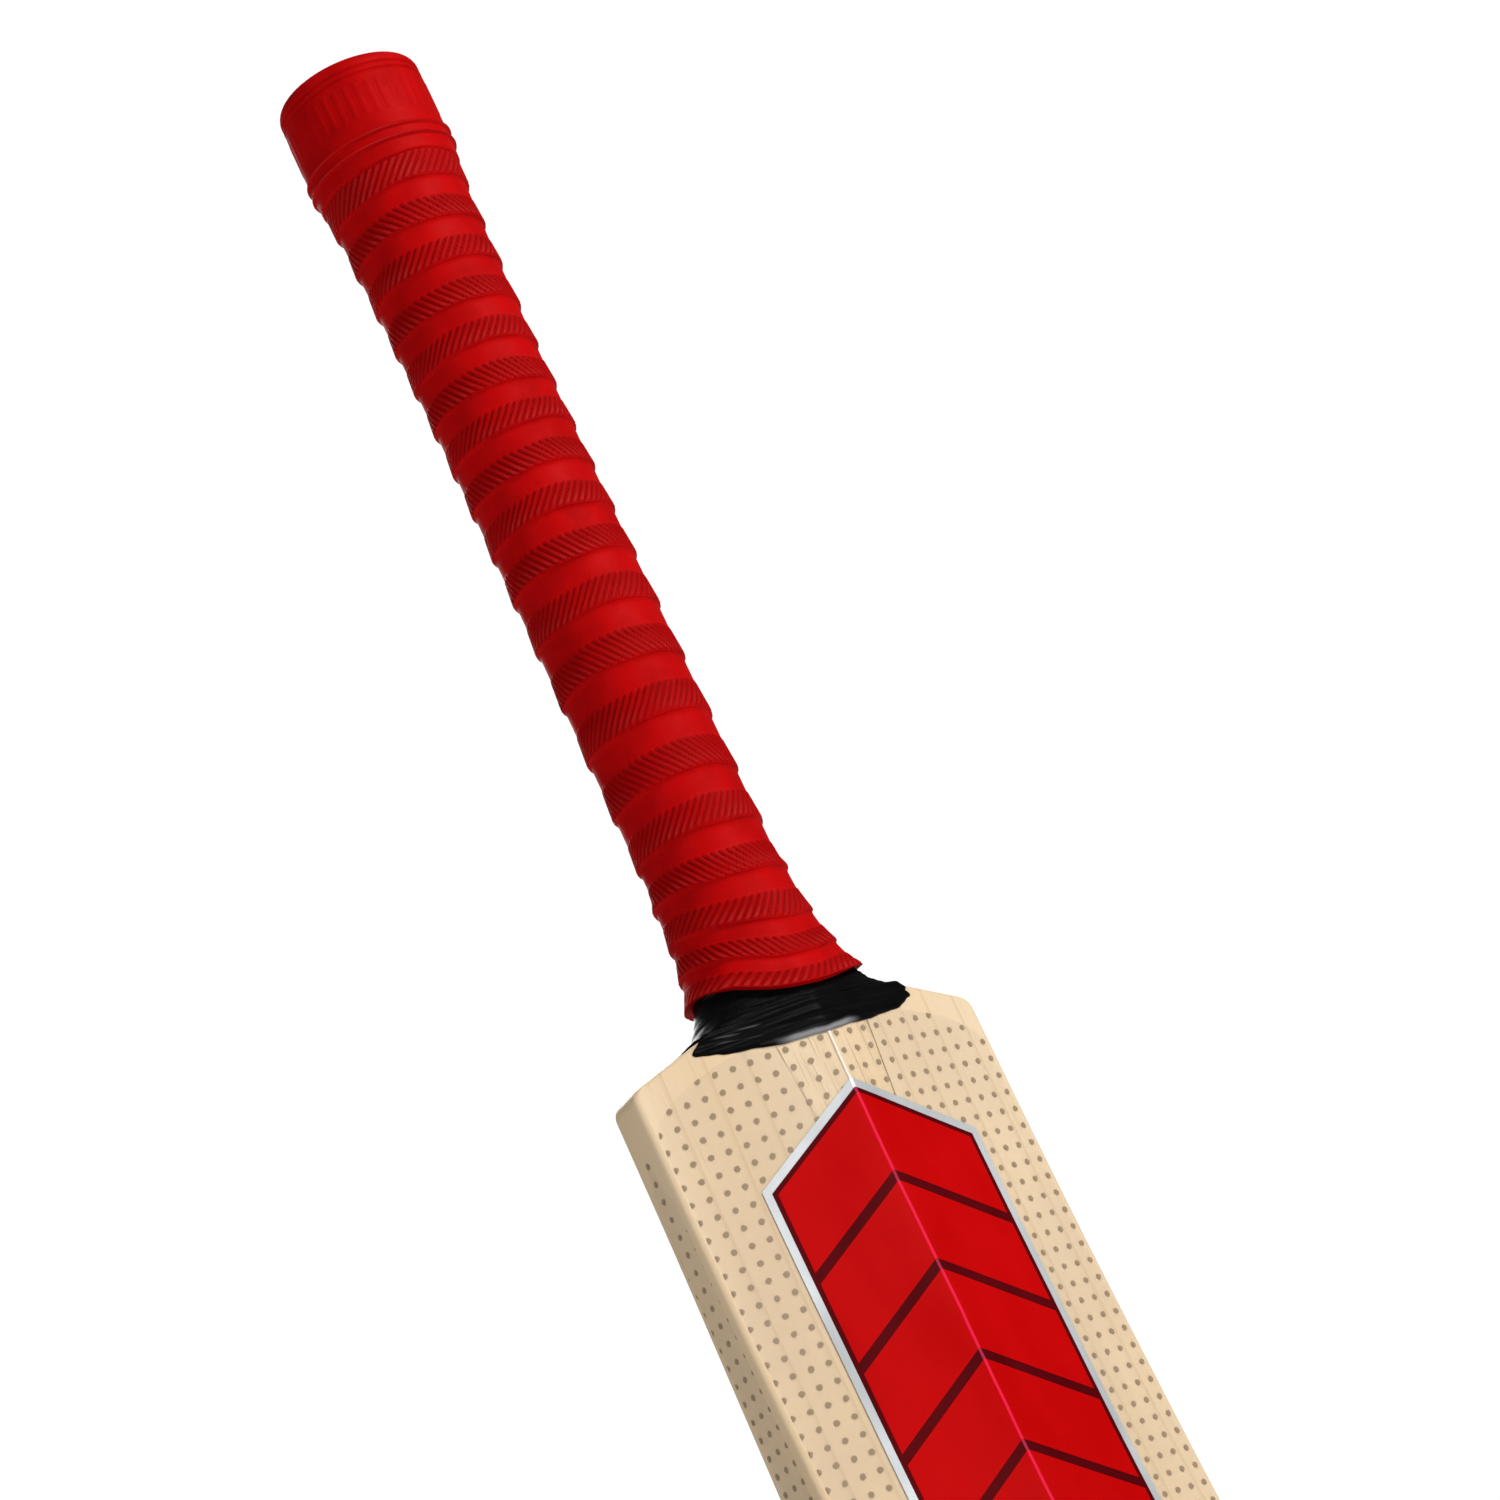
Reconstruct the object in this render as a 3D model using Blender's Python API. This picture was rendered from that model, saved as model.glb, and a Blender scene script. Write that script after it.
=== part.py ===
"""Cricket bat: a willow blade with a spliced, laminated cane handle, bound, taped, gripped and covered.

The bat stands upright on its toe. +Z runs up the handle, -Y is the back with its spine, +Y is the
hitting face, and the handle's axis is the Z axis. All sizes are in metres.
"""

import math

import bmesh
import bpy

# Whole bat
OVERALL_LENGTH = 0.850
GAP = 0.0003  # glue line or air between two touching pieces

# Blade
BLADE_LENGTH = 0.561  # toe to the root of the handle
BLADE_WIDTH = 0.108
FACE_CROWN = 0.0020  # how far the middle of the face stands in front of its edges
SPINE_SOFTNESS = 0.03  # rounding of the spine's crest, as a share of the half width
EDGE_RADIUS = 0.0020
TOE_CORNER_RADIUS = 0.014
# Share of the blade's length from the toe, height of the face's edge, edge thickness, spine height
BLADE_STATIONS = (
    (0.00, 0.0140, 0.0190, 0.0090),
    (0.10, 0.0160, 0.0270, 0.0140),
    (0.22, 0.0175, 0.0340, 0.0200),
    (0.36, 0.0180, 0.0380, 0.0240),
    (0.54, 0.0165, 0.0315, 0.0185),
    (0.74, 0.0125, 0.0208, 0.0100),
    (0.85, 0.0102, 0.0158, 0.0114),
    (0.92, 0.0088, 0.0136, 0.0115),
    (1.00, 0.0080, 0.0125, 0.0126),
)

# Shoulders, from the blade's corner up to the handle
SHOULDER_CORNER_RADIUS = 0.0040
SHOULDER_DROOP = math.radians(18)
ROOT_HALF_WIDTH = 0.0310  # where the drooping shoulder turns up into the handle
ROOT_FILLET_HEIGHT = 0.040
HORN_HEIGHT = 0.016  # willow left standing beside the splice

# Splice: the wedge at the foot of the handle, in its slot in the blade
SPLICE_LENGTH = 0.130
SPLICE_HALF_WIDTH = 0.0155
SPLICE_TIP_HALF_WIDTH = 0.0025
SPLICE_CORNER_RADIUS = 0.0005

# Handle of cane slats and rubber springs
HANDLE_RADIUS = 0.0140
HANDLE_KNOB_RADIUS = 0.0162
KNOB_FLARE_LENGTH = 0.092
KNOB_LENGTH = 0.024
CANE_LAYERS = 4
CANE_STRIPS = 3
SPRING_THICKNESS = 0.0012
BINDING_THICKNESS = 0.0008

# Grip
GRIP_WALL = 0.0016
GRIP_COLLAR_WALL = 0.0027
GRIP_LIP = 0.0025  # how far the grip reaches over the end of the handle
GRIP_MOUTH_RADIUS = 0.0125
GRIP_RIM_ROUNDING = 0.0035
GRIP_FOOT_HEIGHT = 0.0060  # above the root of the handle
GRIP_COLLAR_LENGTH = 0.032
GRIP_SETTLE_HEIGHT = 0.0020  # over which the grip's bore closes onto the binding above the tape
RING_STEP = 0.0009  # how far each ring stands out at its lower edge
RING_EDGE_HALF = 0.0002  # half the height over which the step falls back to the wall
RING_PITCH = 0.0126
RING_STRETCH = 0.0044  # extra pitch where the grip is stretched most
RING_STRETCH_AT = 12.2  # ring, counted from the collar, where the stretch is greatest
RING_STRETCH_SPREAD = 3.0  # in rings
RING_FIRST_BELOW_TOP = 0.040

# Tape round the root of the handle
TAPE_THICKNESS = 0.0004
TAPE_HALF_WIDTH = 0.0330
TAPE_BELOW_ROOT = 0.0090
TAPE_CORNER_RISE = 0.0055

# Films and stickers
FILM_THICKNESS = 0.0002
FILM_CORNER_RADIUS = 0.010
BACK_FILM_MARGIN = 0.0030
BACK_FILM_FOOT = 0.030
BACK_FILM_DOME = 0.022
BACK_FILM_BELOW_TAPE = 0.0010
FACE_FILM_MARGIN = 0.0050
FACE_FILM_FOOT = 0.012
FACE_FILM_LENGTH = 0.400
FACE_FILM_DOME = 0.016
EDGE_FILM_SHARE = 0.60
EDGE_FILM_TOP_BELOW_ROOT = 0.022
EDGE_FILM_POINT = 0.016
EDGE_FILM_FOOT = 0.035
BACK_STICKER_TOP_BELOW_ROOT = 0.0225
BACK_STICKER_LENGTHS = (0.150, 0.090)
BACK_STICKER_SPACING = 0.020  # from the notch of one to the point of the next
BACK_STICKER_HALF_WIDTH = 0.034
STICKER_POINT = 0.020
FACE_STICKER_LENGTH = 0.070
FACE_STICKER_HALF_WIDTH = 0.030
FACE_STICKER_ABOVE_FILM = 0.014

# Toe guard
TOE_GUARD_THICKNESS = 0.0020
TOE_ROUNDING = 0.0015

# Facets
SHARP_ANGLE = math.radians(30)
FACE_STEPS = 4
CORNER_STEPS = 2
BACK_STEPS = 6
SPINE_CROWDING = 1.6  # power that moves the back's facets closer together towards the spine
RIGHT_STEPS = FACE_STEPS + CORNER_STEPS + 1 + CORNER_STEPS + BACK_STEPS
TOE_STEPS = 3
BODY_STEPS = 20
SHOULDER_STEPS = 3
FOOT_STEPS = 4
ROOT_STEPS = 5
ROOT_CROWDING = 1.4  # power that moves the root's facets closer together towards its foot
FLARE_STEPS = 3
RIM_STEPS = 4
DOME_STEPS = 8
FILM_CORNER_STEPS = 3
EDGE_FILM_STEPS = 8
COVER_FOOT = 0.006  # lower end of the solids that films are cut from, below every film
CUT_REACH = 0.2  # cutters pass well beyond the bat
PROBE = 0.0002  # height over which the outline's slope is taken

HANDLE_END = OVERALL_LENGTH - GRIP_LIP - GAP
KNOB_START = HANDLE_END - KNOB_LENGTH
FLARE_START = KNOB_START - KNOB_FLARE_LENGTH
FILLET_TOP = BLADE_LENGTH + ROOT_FILLET_HEIGHT
HORN_TOP = BLADE_LENGTH + HORN_HEIGHT
GRIP_FOOT = BLADE_LENGTH + GRIP_FOOT_HEIGHT
TAPE_TOP = FILLET_TOP
TAPE_FOOT = BLADE_LENGTH - TAPE_BELOW_ROOT
BINDING_FOOT = TAPE_TOP + GAP
BINDING_OVER_CANE = GAP + BINDING_THICKNESS
TAPE_OVER_WOOD = GAP + TAPE_THICKNESS
FILM_OVER_WOOD = GAP + FILM_THICKNESS
HALF = BLADE_WIDTH / 2


# ---------------------------------------------------------------- curves that the pieces share


def ease(share):
    """Smooth step from 0 to 1."""
    share = min(max(share, 0.0), 1.0)
    return share * share * (3 - 2 * share)


def mix(first, second, share):
    return first + (second - first) * share


def station_slope(index, column):
    """Slope of one station value, from its two neighbours."""
    before = BLADE_STATIONS[max(index - 1, 0)]
    after = BLADE_STATIONS[min(index + 1, len(BLADE_STATIONS) - 1)]
    return (after[column] - before[column]) / (after[0] - before[0])


def blade_value(z, column):
    """One station value at height z, on a smooth curve through the stations."""
    share = min(max(z / BLADE_LENGTH, 0.0), 1.0)
    index = 0
    while index < len(BLADE_STATIONS) - 2 and share > BLADE_STATIONS[index + 1][0]:
        index += 1
    start, end = BLADE_STATIONS[index], BLADE_STATIONS[index + 1]
    span = end[0] - start[0]
    t = (share - start[0]) / span
    leave = t * (1 - t) ** 2 * span * station_slope(index, column)
    arrive = t * t * (t - 1) * span * station_slope(index + 1, column)
    return mix(start[column], end[column], ease(t)) + leave + arrive


def front_y(x, z):
    """Hitting face: crowned across the blade."""
    return blade_value(z, 1) + FACE_CROWN * (1 - (x / HALF) ** 2)


def back_y(x, z):
    """Back: two slopes that meet in a softened spine."""
    soft = SPINE_SOFTNESS
    slope = (math.hypot(x / HALF, soft) - soft) / (math.hypot(1, soft) - soft)
    return blade_value(z, 1) - blade_value(z, 2) - blade_value(z, 3) * (1 - slope)


def shoulder_corner():
    """Centre (half width, height) of the corner's arc, and the height where the arc ends."""
    centre_x = HALF - SHOULDER_CORNER_RADIUS
    turn = math.pi / 2 - SHOULDER_DROOP
    arc_end_x = centre_x + SHOULDER_CORNER_RADIUS * math.cos(turn)
    arc_end_z = BLADE_LENGTH - (arc_end_x - ROOT_HALF_WIDTH) * math.tan(SHOULDER_DROOP)
    return centre_x, arc_end_z - SHOULDER_CORNER_RADIUS * math.sin(turn), arc_end_z


def handle_radius(z):
    """Radius of the round cane handle, which flares into a knob at its end."""
    share = min(max((z - FLARE_START) / KNOB_FLARE_LENGTH, 0.0), 1.0)
    return mix(HANDLE_RADIUS, HANDLE_KNOB_RADIUS, share * share)


def bound_radius(z):
    return handle_radius(z) + BINDING_OVER_CANE


def root_share(z):
    """How far the root has turned from the blade's slab (0) into the handle's circle (1)."""
    fall = min(max((FILLET_TOP - z) / ROOT_FILLET_HEIGHT, 0.0), 1.0)
    return math.sqrt(1 - fall * fall)


def half_width(z):
    """Half width of the bat's outline at height z, from the toe to the end of the handle."""
    corner_x, corner_z, slope_z = shoulder_corner()
    if z < TOE_CORNER_RADIUS:
        rise = TOE_CORNER_RADIUS - z
        return HALF - TOE_CORNER_RADIUS + math.sqrt(TOE_CORNER_RADIUS**2 - rise**2)
    if z <= corner_z:
        return HALF
    if z < slope_z:
        return corner_x + math.sqrt(SHOULDER_CORNER_RADIUS**2 - (z - corner_z) ** 2)
    if z < BLADE_LENGTH:
        return ROOT_HALF_WIDTH + (BLADE_LENGTH - z) / math.tan(SHOULDER_DROOP)
    if z < FILLET_TOP:
        return mix(ROOT_HALF_WIDTH, bound_radius(FILLET_TOP), root_share(z))
    return bound_radius(z)


def outline_normal(z):
    """Outward direction (along the width, along the height) of the outline at height z."""
    slope = (half_width(z + PROBE) - half_width(z - PROBE)) / (2 * PROBE)
    length = math.hypot(1, slope)
    return 1 / length, -slope / length


def splice_half_width(z):
    share = (z - (BLADE_LENGTH - SPLICE_LENGTH)) / SPLICE_LENGTH
    return mix(SPLICE_TIP_HALF_WIDTH, SPLICE_HALF_WIDTH, min(share, 1.0))


# ---------------------------------------------------------------- sections across the bat


def slab_points(z, half, radius, grow):
    """Right half of a section of the blade, from the middle of the face to the spine."""
    level = min(z, BLADE_LENGTH)
    radius = min(radius, half / 2)
    flat = half - radius
    front = front_y(flat, level) + grow - radius
    back = back_y(flat, level) - grow + radius
    points = []
    for step in range(FACE_STEPS):
        x = flat * step / FACE_STEPS
        points.append((x, front_y(x, level) + grow))
    for centre_y, start in ((front, math.pi / 2), (back, 0.0)):
        for step in range(CORNER_STEPS + 1):
            angle = start - math.pi / 2 * step / CORNER_STEPS
            points.append((flat + radius * math.cos(angle), centre_y + radius * math.sin(angle)))
    for step in range(1, BACK_STEPS + 1):
        x = flat * (1 - step / BACK_STEPS) ** SPINE_CROWDING
        points.append((x, back_y(x, level) - grow))
    return points


def round_points(half, radius):
    """Right half of an oval with as many points as slab_points gives."""
    points = []
    for step in range(RIGHT_STEPS + 1):
        angle = math.pi / 2 - math.pi * step / RIGHT_STEPS
        points.append((half * math.cos(angle), radius * math.sin(angle)))
    return points


def whole_ring(right, height):
    """Closed ring of points at one height, from its right half."""
    left = [(-x, y) for x, y in reversed(right[1:-1])]
    return [(x, y, height) for x, y in right + left]


def morph(first, second, share):
    return [(mix(a[0], b[0], share), mix(a[1], b[1], share)) for a, b in zip(first, second)]


def blade_ring(z, grow):
    """Section of the blade and its shoulders, grown outwards along the outline's normal."""
    across, along = outline_normal(z) if z > TOE_CORNER_RADIUS else (1.0, 0.0)
    half = half_width(z) + across * grow
    return whole_ring(slab_points(z, half, EDGE_RADIUS + grow, grow), z + along * grow)


def root_ring(z, grow=0.0):
    """Section of the outline above the blade, which turns from the blade's slab into a circle."""
    half = half_width(z) + grow
    slab = slab_points(z, half, EDGE_RADIUS + grow, grow)
    oval = round_points(half, bound_radius(z) + grow)
    return whole_ring(morph(slab, oval, root_share(z)), z)


def cane_ring(z):
    """Section of the laminated handle: the wedge of the splice below, a circle above."""
    near_root = ease(1 - (BLADE_LENGTH - z) / HORN_HEIGHT)
    corner = mix(SPLICE_CORNER_RADIUS, EDGE_RADIUS, near_root)
    wedge = slab_points(z, splice_half_width(z), corner, 0.0)
    radius = handle_radius(z)
    share = root_share(z - GAP)
    return whole_ring(morph(wedge, round_points(radius, radius), share), z)


def circle_ring(radius, z):
    return whole_ring(round_points(radius, radius), z)


def spread(start, end, steps):
    """Evenly spaced values, both ends included."""
    return [mix(start, end, step / steps) for step in range(steps + 1)]


# ---------------------------------------------------------------- mesh tools


def material(name, colour, roughness, metallic=0.0):
    made = bpy.data.materials.new(name)
    made.use_nodes = True
    shader = made.node_tree.nodes["Principled BSDF"]
    shader.inputs["Base Color"].default_value = (*colour, 1.0)
    shader.inputs["Roughness"].default_value = roughness
    shader.inputs["Metallic"].default_value = metallic
    return made


def finish(mesh_builder, name, surface):
    """Turns a bmesh into a named object with outward faces and smooth shading."""
    bmesh.ops.recalc_face_normals(mesh_builder, faces=mesh_builder.faces)
    mesh = bpy.data.meshes.new(name)
    mesh_builder.to_mesh(mesh)
    mesh_builder.free()
    mesh.shade_smooth()
    mesh.set_sharp_from_angle(angle=SHARP_ANGLE)
    obj = bpy.data.objects.new(name, mesh)
    bpy.context.scene.collection.objects.link(obj)
    if surface:
        mesh.materials.append(surface)
    return obj


def loft(name, rings, surface, cyclic=False):
    """Skin over rings of equally many points: capped at both ends, or closed into a tube wall."""
    builder = bmesh.new()
    loops = [[builder.verts.new(point) for point in ring] for ring in rings]
    pairs = list(zip(loops, loops[1:]))
    if cyclic:
        pairs.append((loops[-1], loops[0]))
    else:
        builder.faces.new(loops[0])
        builder.faces.new(loops[-1])
    for lower, upper in pairs:
        for index in range(len(lower)):
            after = (index + 1) % len(lower)
            builder.faces.new((lower[index], lower[after], upper[after], upper[index]))
    return finish(builder, name, surface)


def prism(name, outline, start, end, axes):
    """Straight prism over an outline. axes says which coordinates the outline's two values are."""
    builder = bmesh.new()
    loops = []
    for depth in (start, end):
        loop = []
        for first, second in outline:
            place = {axes[0]: first, axes[1]: second}
            loop.append(builder.verts.new([place.get(axis, depth) for axis in "xyz"]))
        loops.append(loop)
        builder.faces.new(loop)
    for index in range(len(outline)):
        after = (index + 1) % len(outline)
        builder.faces.new((loops[0][index], loops[0][after], loops[1][after], loops[1][index]))
    return finish(builder, name, None)


def helper(obj):
    """Marks a cutter, which shapes other pieces and isn't one itself."""
    obj.hide_render = True
    obj.display_type = "WIRE"
    return obj


def cut(obj, tool, operation):
    """Applies one Boolean to the object's mesh."""
    modifier = obj.modifiers.new(operation.lower(), "BOOLEAN")
    modifier.operation = operation
    modifier.object = tool
    modifier.solver = "EXACT"
    graph = bpy.context.evaluated_depsgraph_get()
    mesh = bpy.data.meshes.new_from_object(obj.evaluated_get(graph))
    obj.modifiers.clear()
    obj.data = mesh
    mesh.shade_smooth()
    mesh.set_sharp_from_angle(angle=SHARP_ANGLE)


def discard(*tools):
    for tool in tools:
        bpy.data.objects.remove(tool)


# ---------------------------------------------------------------- blade and toe guard


def toe_ring(z):
    """Section of the blade, drawn in near the toe's rounded lower rim."""
    inset = TOE_ROUNDING * (1 - ease(z / (2 * TOE_ROUNDING)))
    half = half_width(z) - inset
    return whole_ring(slab_points(z, half, EDGE_RADIUS, -inset), z)


def blade_heights(start):
    """Heights of the blade's sections: close together at the toe's corners and the shoulders."""
    corner_z, slope_z = shoulder_corner()[1:]
    heights = [start]
    for turn in spread(0.0, math.pi / 2, TOE_STEPS)[1:]:
        heights.append(mix(start, TOE_CORNER_RADIUS, math.sin(turn) ** 2))
    heights += spread(TOE_CORNER_RADIUS, corner_z, BODY_STEPS)[1:]
    for turn in spread(0.0, math.pi / 2, SHOULDER_STEPS)[1:]:
        heights.append(mix(corner_z, slope_z, math.sin(turn)))
    heights.append(BLADE_LENGTH)
    return heights


def root_heights():
    """Heights of the sections between the blade's root and the round handle."""
    below = [mix(BLADE_LENGTH, GRIP_FOOT, share * share) for share in spread(0.0, 1.0, FOOT_STEPS)]
    above = [mix(GRIP_FOOT, FILLET_TOP, share**ROOT_CROWDING) for share in spread(0.0, 1.0, ROOT_STEPS)]
    return below[1:] + above[1:]


def make_blade(willow):
    rings = [toe_ring(z) for z in blade_heights(TOE_GUARD_THICKNESS + GAP)]
    rings += [root_ring(z) for z in root_heights() if z < HORN_TOP]
    rings.append(root_ring(HORN_TOP))
    blade = loft("blade", rings, willow)
    tip = BLADE_LENGTH - SPLICE_LENGTH - GAP
    top = HORN_TOP + HORN_HEIGHT
    slot = [
        (SPLICE_TIP_HALF_WIDTH + GAP, tip),
        (SPLICE_HALF_WIDTH + GAP, BLADE_LENGTH),
        (SPLICE_HALF_WIDTH + GAP, top),
    ]
    slot += [(-x, z) for x, z in reversed(slot)]
    cutter = helper(prism("splice_slot", slot, -CUT_REACH, CUT_REACH, "xz"))
    cut(blade, cutter, "DIFFERENCE")
    discard(cutter)
    return blade


def make_toe_guard(rubber):
    heights = (0.0, TOE_ROUNDING / 3, TOE_ROUNDING, TOE_GUARD_THICKNESS)
    return loft("toe_guard", [toe_ring(z) for z in heights], rubber)


# ---------------------------------------------------------------- handle


def make_core():
    tip = BLADE_LENGTH - SPLICE_LENGTH
    heights = [tip] + [z for z in blade_heights(0.0) if z > tip]
    heights += root_heights() + spread(FLARE_START, KNOB_START, FLARE_STEPS) + [HANDLE_END]
    return helper(loft("core", [cane_ring(z) for z in heights], None))


def cell_box(name, x_range, y_range):
    corners = [(x, y) for x in x_range for y in y_range]
    outline = [corners[0], corners[1], corners[3], corners[2]]
    return helper(prism(name, outline, 0.0, OVERALL_LENGTH, "xy"))


def carve_from_core(name, core, x_range, y_range, surface):
    """The part of the handle's core inside one cell of its lamination."""
    piece = bpy.data.objects.new(name, core.data.copy())
    bpy.context.scene.collection.objects.link(piece)
    box = cell_box("cell", x_range, y_range)
    cut(piece, box, "INTERSECT")
    discard(box)
    piece.data.materials.clear()
    piece.data.materials.append(surface)
    return piece


def cell_range(index, count, pitch, clearance):
    """Limits of one cell in a row that is centred on the axis; the end cells are open outwards."""
    low = (index - count / 2) * pitch + clearance
    high = (index + 1 - count / 2) * pitch - clearance
    if index == 0:
        low = -CUT_REACH
    if index == count - 1:
        high = CUT_REACH
    return low, high


def make_handle(cane, rubber):
    core = make_core()
    layer_pitch = 2 * HANDLE_RADIUS / CANE_LAYERS
    strip_pitch = 2 * HANDLE_RADIUS / CANE_STRIPS
    layer_clearance = SPRING_THICKNESS / 2 + GAP
    for layer in range(CANE_LAYERS):
        y_range = cell_range(layer, CANE_LAYERS, layer_pitch, layer_clearance)
        for strip in range(CANE_STRIPS):
            x_range = cell_range(strip, CANE_STRIPS, strip_pitch, GAP / 2)
            name = f"cane_slat_{layer + 1}_{strip + 1}"
            carve_from_core(name, core, x_range, y_range, cane)
    for spring in range(1, CANE_LAYERS):
        y = (spring - CANE_LAYERS / 2) * layer_pitch
        y_range = (y - SPRING_THICKNESS / 2, y + SPRING_THICKNESS / 2)
        across = (-CUT_REACH, CUT_REACH)
        carve_from_core(f"rubber_spring_{spring}", core, across, y_range, rubber)
    discard(core)


def make_binding(twine):
    """Sleeve of wound twine round the round part of the handle."""
    heights = [BINDING_FOOT] + spread(FLARE_START, KNOB_START, FLARE_STEPS) + [HANDLE_END]
    outer = [circle_ring(bound_radius(z), z) for z in heights]
    inner = [circle_ring(handle_radius(z) + GAP, z) for z in heights]
    return loft("twine_binding", outer + inner[::-1], twine, cyclic=True)


# ---------------------------------------------------------------- grip


def ring_heights():
    """Height of the lower edge of each raised ring, from the collar down to the grip's foot."""
    heights = []
    z = OVERALL_LENGTH - RING_FIRST_BELOW_TOP
    while z > FILLET_TOP - ROOT_FILLET_HEIGHT / 2:
        heights.append(z)
        offset = (len(heights) - RING_STRETCH_AT) / RING_STRETCH_SPREAD
        z -= RING_PITCH + RING_STRETCH * math.exp(-offset * offset)
    return heights


def grip_levels():
    """Heights of the grip's outer sections and how far each one stands out over the wall."""
    collar = GRIP_COLLAR_WALL - GRIP_WALL
    levels = []
    for turn in spread(0.0, math.pi / 2, RIM_STEPS):
        drop = GRIP_RIM_ROUNDING * (1 - math.cos(turn))
        levels.append((OVERALL_LENGTH - drop, collar - GRIP_RIM_ROUNDING * (1 - math.sin(turn))))
    levels.append((OVERALL_LENGTH - GRIP_COLLAR_LENGTH, collar))
    for z in ring_heights():
        levels.append((z + RING_EDGE_HALF, RING_STEP))
        levels.append((z - RING_EDGE_HALF, 0.0))
    levels.append((GRIP_FOOT, RING_STEP))
    return levels


def make_grip(rubber):
    cover = TAPE_OVER_WOOD + GAP
    rings = []
    for z, stand in grip_levels():
        over_tape = TAPE_OVER_WOOD if z < TAPE_TOP + GAP else 0.0
        rings.append(root_ring(z, GAP + over_tape + GRIP_WALL + stand))
    for z in root_heights():
        if z >= GRIP_FOOT:
            rings.append(root_ring(z, cover))
    rings.append(root_ring(TAPE_TOP + 2 * GAP, cover))
    for z in [TAPE_TOP + GRIP_SETTLE_HEIGHT] + spread(FLARE_START, KNOB_START, FLARE_STEPS):
        rings.append(circle_ring(bound_radius(z) + GAP, z))
    rings.append(circle_ring(bound_radius(HANDLE_END) + GAP, HANDLE_END + GAP))
    rings.append(circle_ring(GRIP_MOUTH_RADIUS, HANDLE_END + GAP))
    rings.append(circle_ring(GRIP_MOUTH_RADIUS, OVERALL_LENGTH))
    return loft("grip", rings, rubber, cyclic=True)


# ---------------------------------------------------------------- tape, films and stickers


def cover_loft(name, grow):
    """Solid a little larger than the blade and the root of the handle."""
    rings = []
    for z in blade_heights(COVER_FOOT):
        rings.append(blade_ring(z, grow))
    for z in root_heights():
        rings.append(root_ring(z, grow))
    return helper(loft(name, rings, None))


def skin(name, outline, reach, axes, inner_grow, thickness, surface):
    """Thin sheet that follows the bat's surface inside an outline."""
    piece = cover_loft(name, inner_grow + thickness)
    under = cover_loft("under", inner_grow)
    region = helper(prism("region", outline, reach[0], reach[1], axes))
    cut(piece, region, "INTERSECT")
    cut(piece, under, "DIFFERENCE")
    discard(under, region)
    piece.hide_render = False
    piece.display_type = "TEXTURED"
    piece.data.materials.clear()
    piece.data.materials.append(surface)
    return piece


def make_tape(vinyl):
    right = [
        (0.0, TAPE_FOOT),
        (TAPE_HALF_WIDTH, TAPE_FOOT + TAPE_CORNER_RISE),
        (TAPE_HALF_WIDTH, TAPE_TOP),
    ]
    outline = right + [(-x, z) for x, z in reversed(right[1:])]
    reach = (-CUT_REACH, CUT_REACH)
    return skin("shoulder_tape", outline, reach, "xz", GAP, TAPE_THICKNESS, vinyl)


def domed_outline(half, foot, top, dome):
    """Outline with rounded lower corners and a domed top."""
    corner = FILM_CORNER_RADIUS
    right = []
    for angle in spread(-math.pi / 2, 0.0, FILM_CORNER_STEPS):
        right.append((half - corner * (1 - math.cos(angle)), foot + corner * (1 + math.sin(angle))))
    for angle in spread(0.0, math.pi / 2, DOME_STEPS)[:-1]:
        right.append((half * math.cos(angle), top - dome * (1 - math.sin(angle))))
    return right + [(0.0, top)] + [(-x, z) for x, z in reversed(right)]


def make_back_film(film):
    top = TAPE_FOOT - BACK_FILM_BELOW_TAPE
    outline = domed_outline(HALF - BACK_FILM_MARGIN, BACK_FILM_FOOT, top, BACK_FILM_DOME)
    return skin("back_film", outline, (-CUT_REACH, 0.0), "xz", GAP, FILM_THICKNESS, film)


def make_face_film(film):
    top = FACE_FILM_FOOT + FACE_FILM_LENGTH
    outline = domed_outline(HALF - FACE_FILM_MARGIN, FACE_FILM_FOOT, top, FACE_FILM_DOME)
    return skin("face_film", outline, (0.0, CUT_REACH), "xz", GAP, FILM_THICKNESS, film)


def edge_film_outline():
    """Strip along the side of the blade (y, z), with a point at its upper end."""
    top = BLADE_LENGTH - EDGE_FILM_TOP_BELOW_ROOT
    front, back = [], []
    for z in spread(EDGE_FILM_FOOT, top - EDGE_FILM_POINT, EDGE_FILM_STEPS):
        edge = blade_value(z, 2)
        middle = blade_value(z, 1) - edge / 2
        front.append((middle + EDGE_FILM_SHARE * edge / 2, z))
        back.append((middle - EDGE_FILM_SHARE * edge / 2, z))
    point = (blade_value(top, 1) - blade_value(top, 2) / 2, top)
    return front + [point] + back[::-1]


def make_edge_films(film):
    outline = edge_film_outline()
    for name, reach in (("edge_film_left", (-CUT_REACH, 0.0)), ("edge_film_right", (0.0, CUT_REACH))):
        skin(name, outline, reach, "yz", GAP, FILM_THICKNESS, film)


def banner_outline(half, top, length):
    """Banner with a pointed top and a matching notch at its foot."""
    right = [(half, top - STICKER_POINT), (half, top - length)]
    left = [(-x, z) for x, z in reversed(right)]
    return [(0.0, top)] + right + [(0.0, top - length + STICKER_POINT)] + left


def make_back_stickers(foil):
    top = BLADE_LENGTH - BACK_STICKER_TOP_BELOW_ROOT
    grow = FILM_OVER_WOOD + GAP
    for number, length in enumerate(BACK_STICKER_LENGTHS, 1):
        outline = banner_outline(BACK_STICKER_HALF_WIDTH, top, length)
        reach = (-CUT_REACH, 0.0)
        skin(f"back_sticker_{number}", outline, reach, "xz", grow, FILM_THICKNESS, foil)
        top -= length + BACK_STICKER_SPACING - STICKER_POINT


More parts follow.
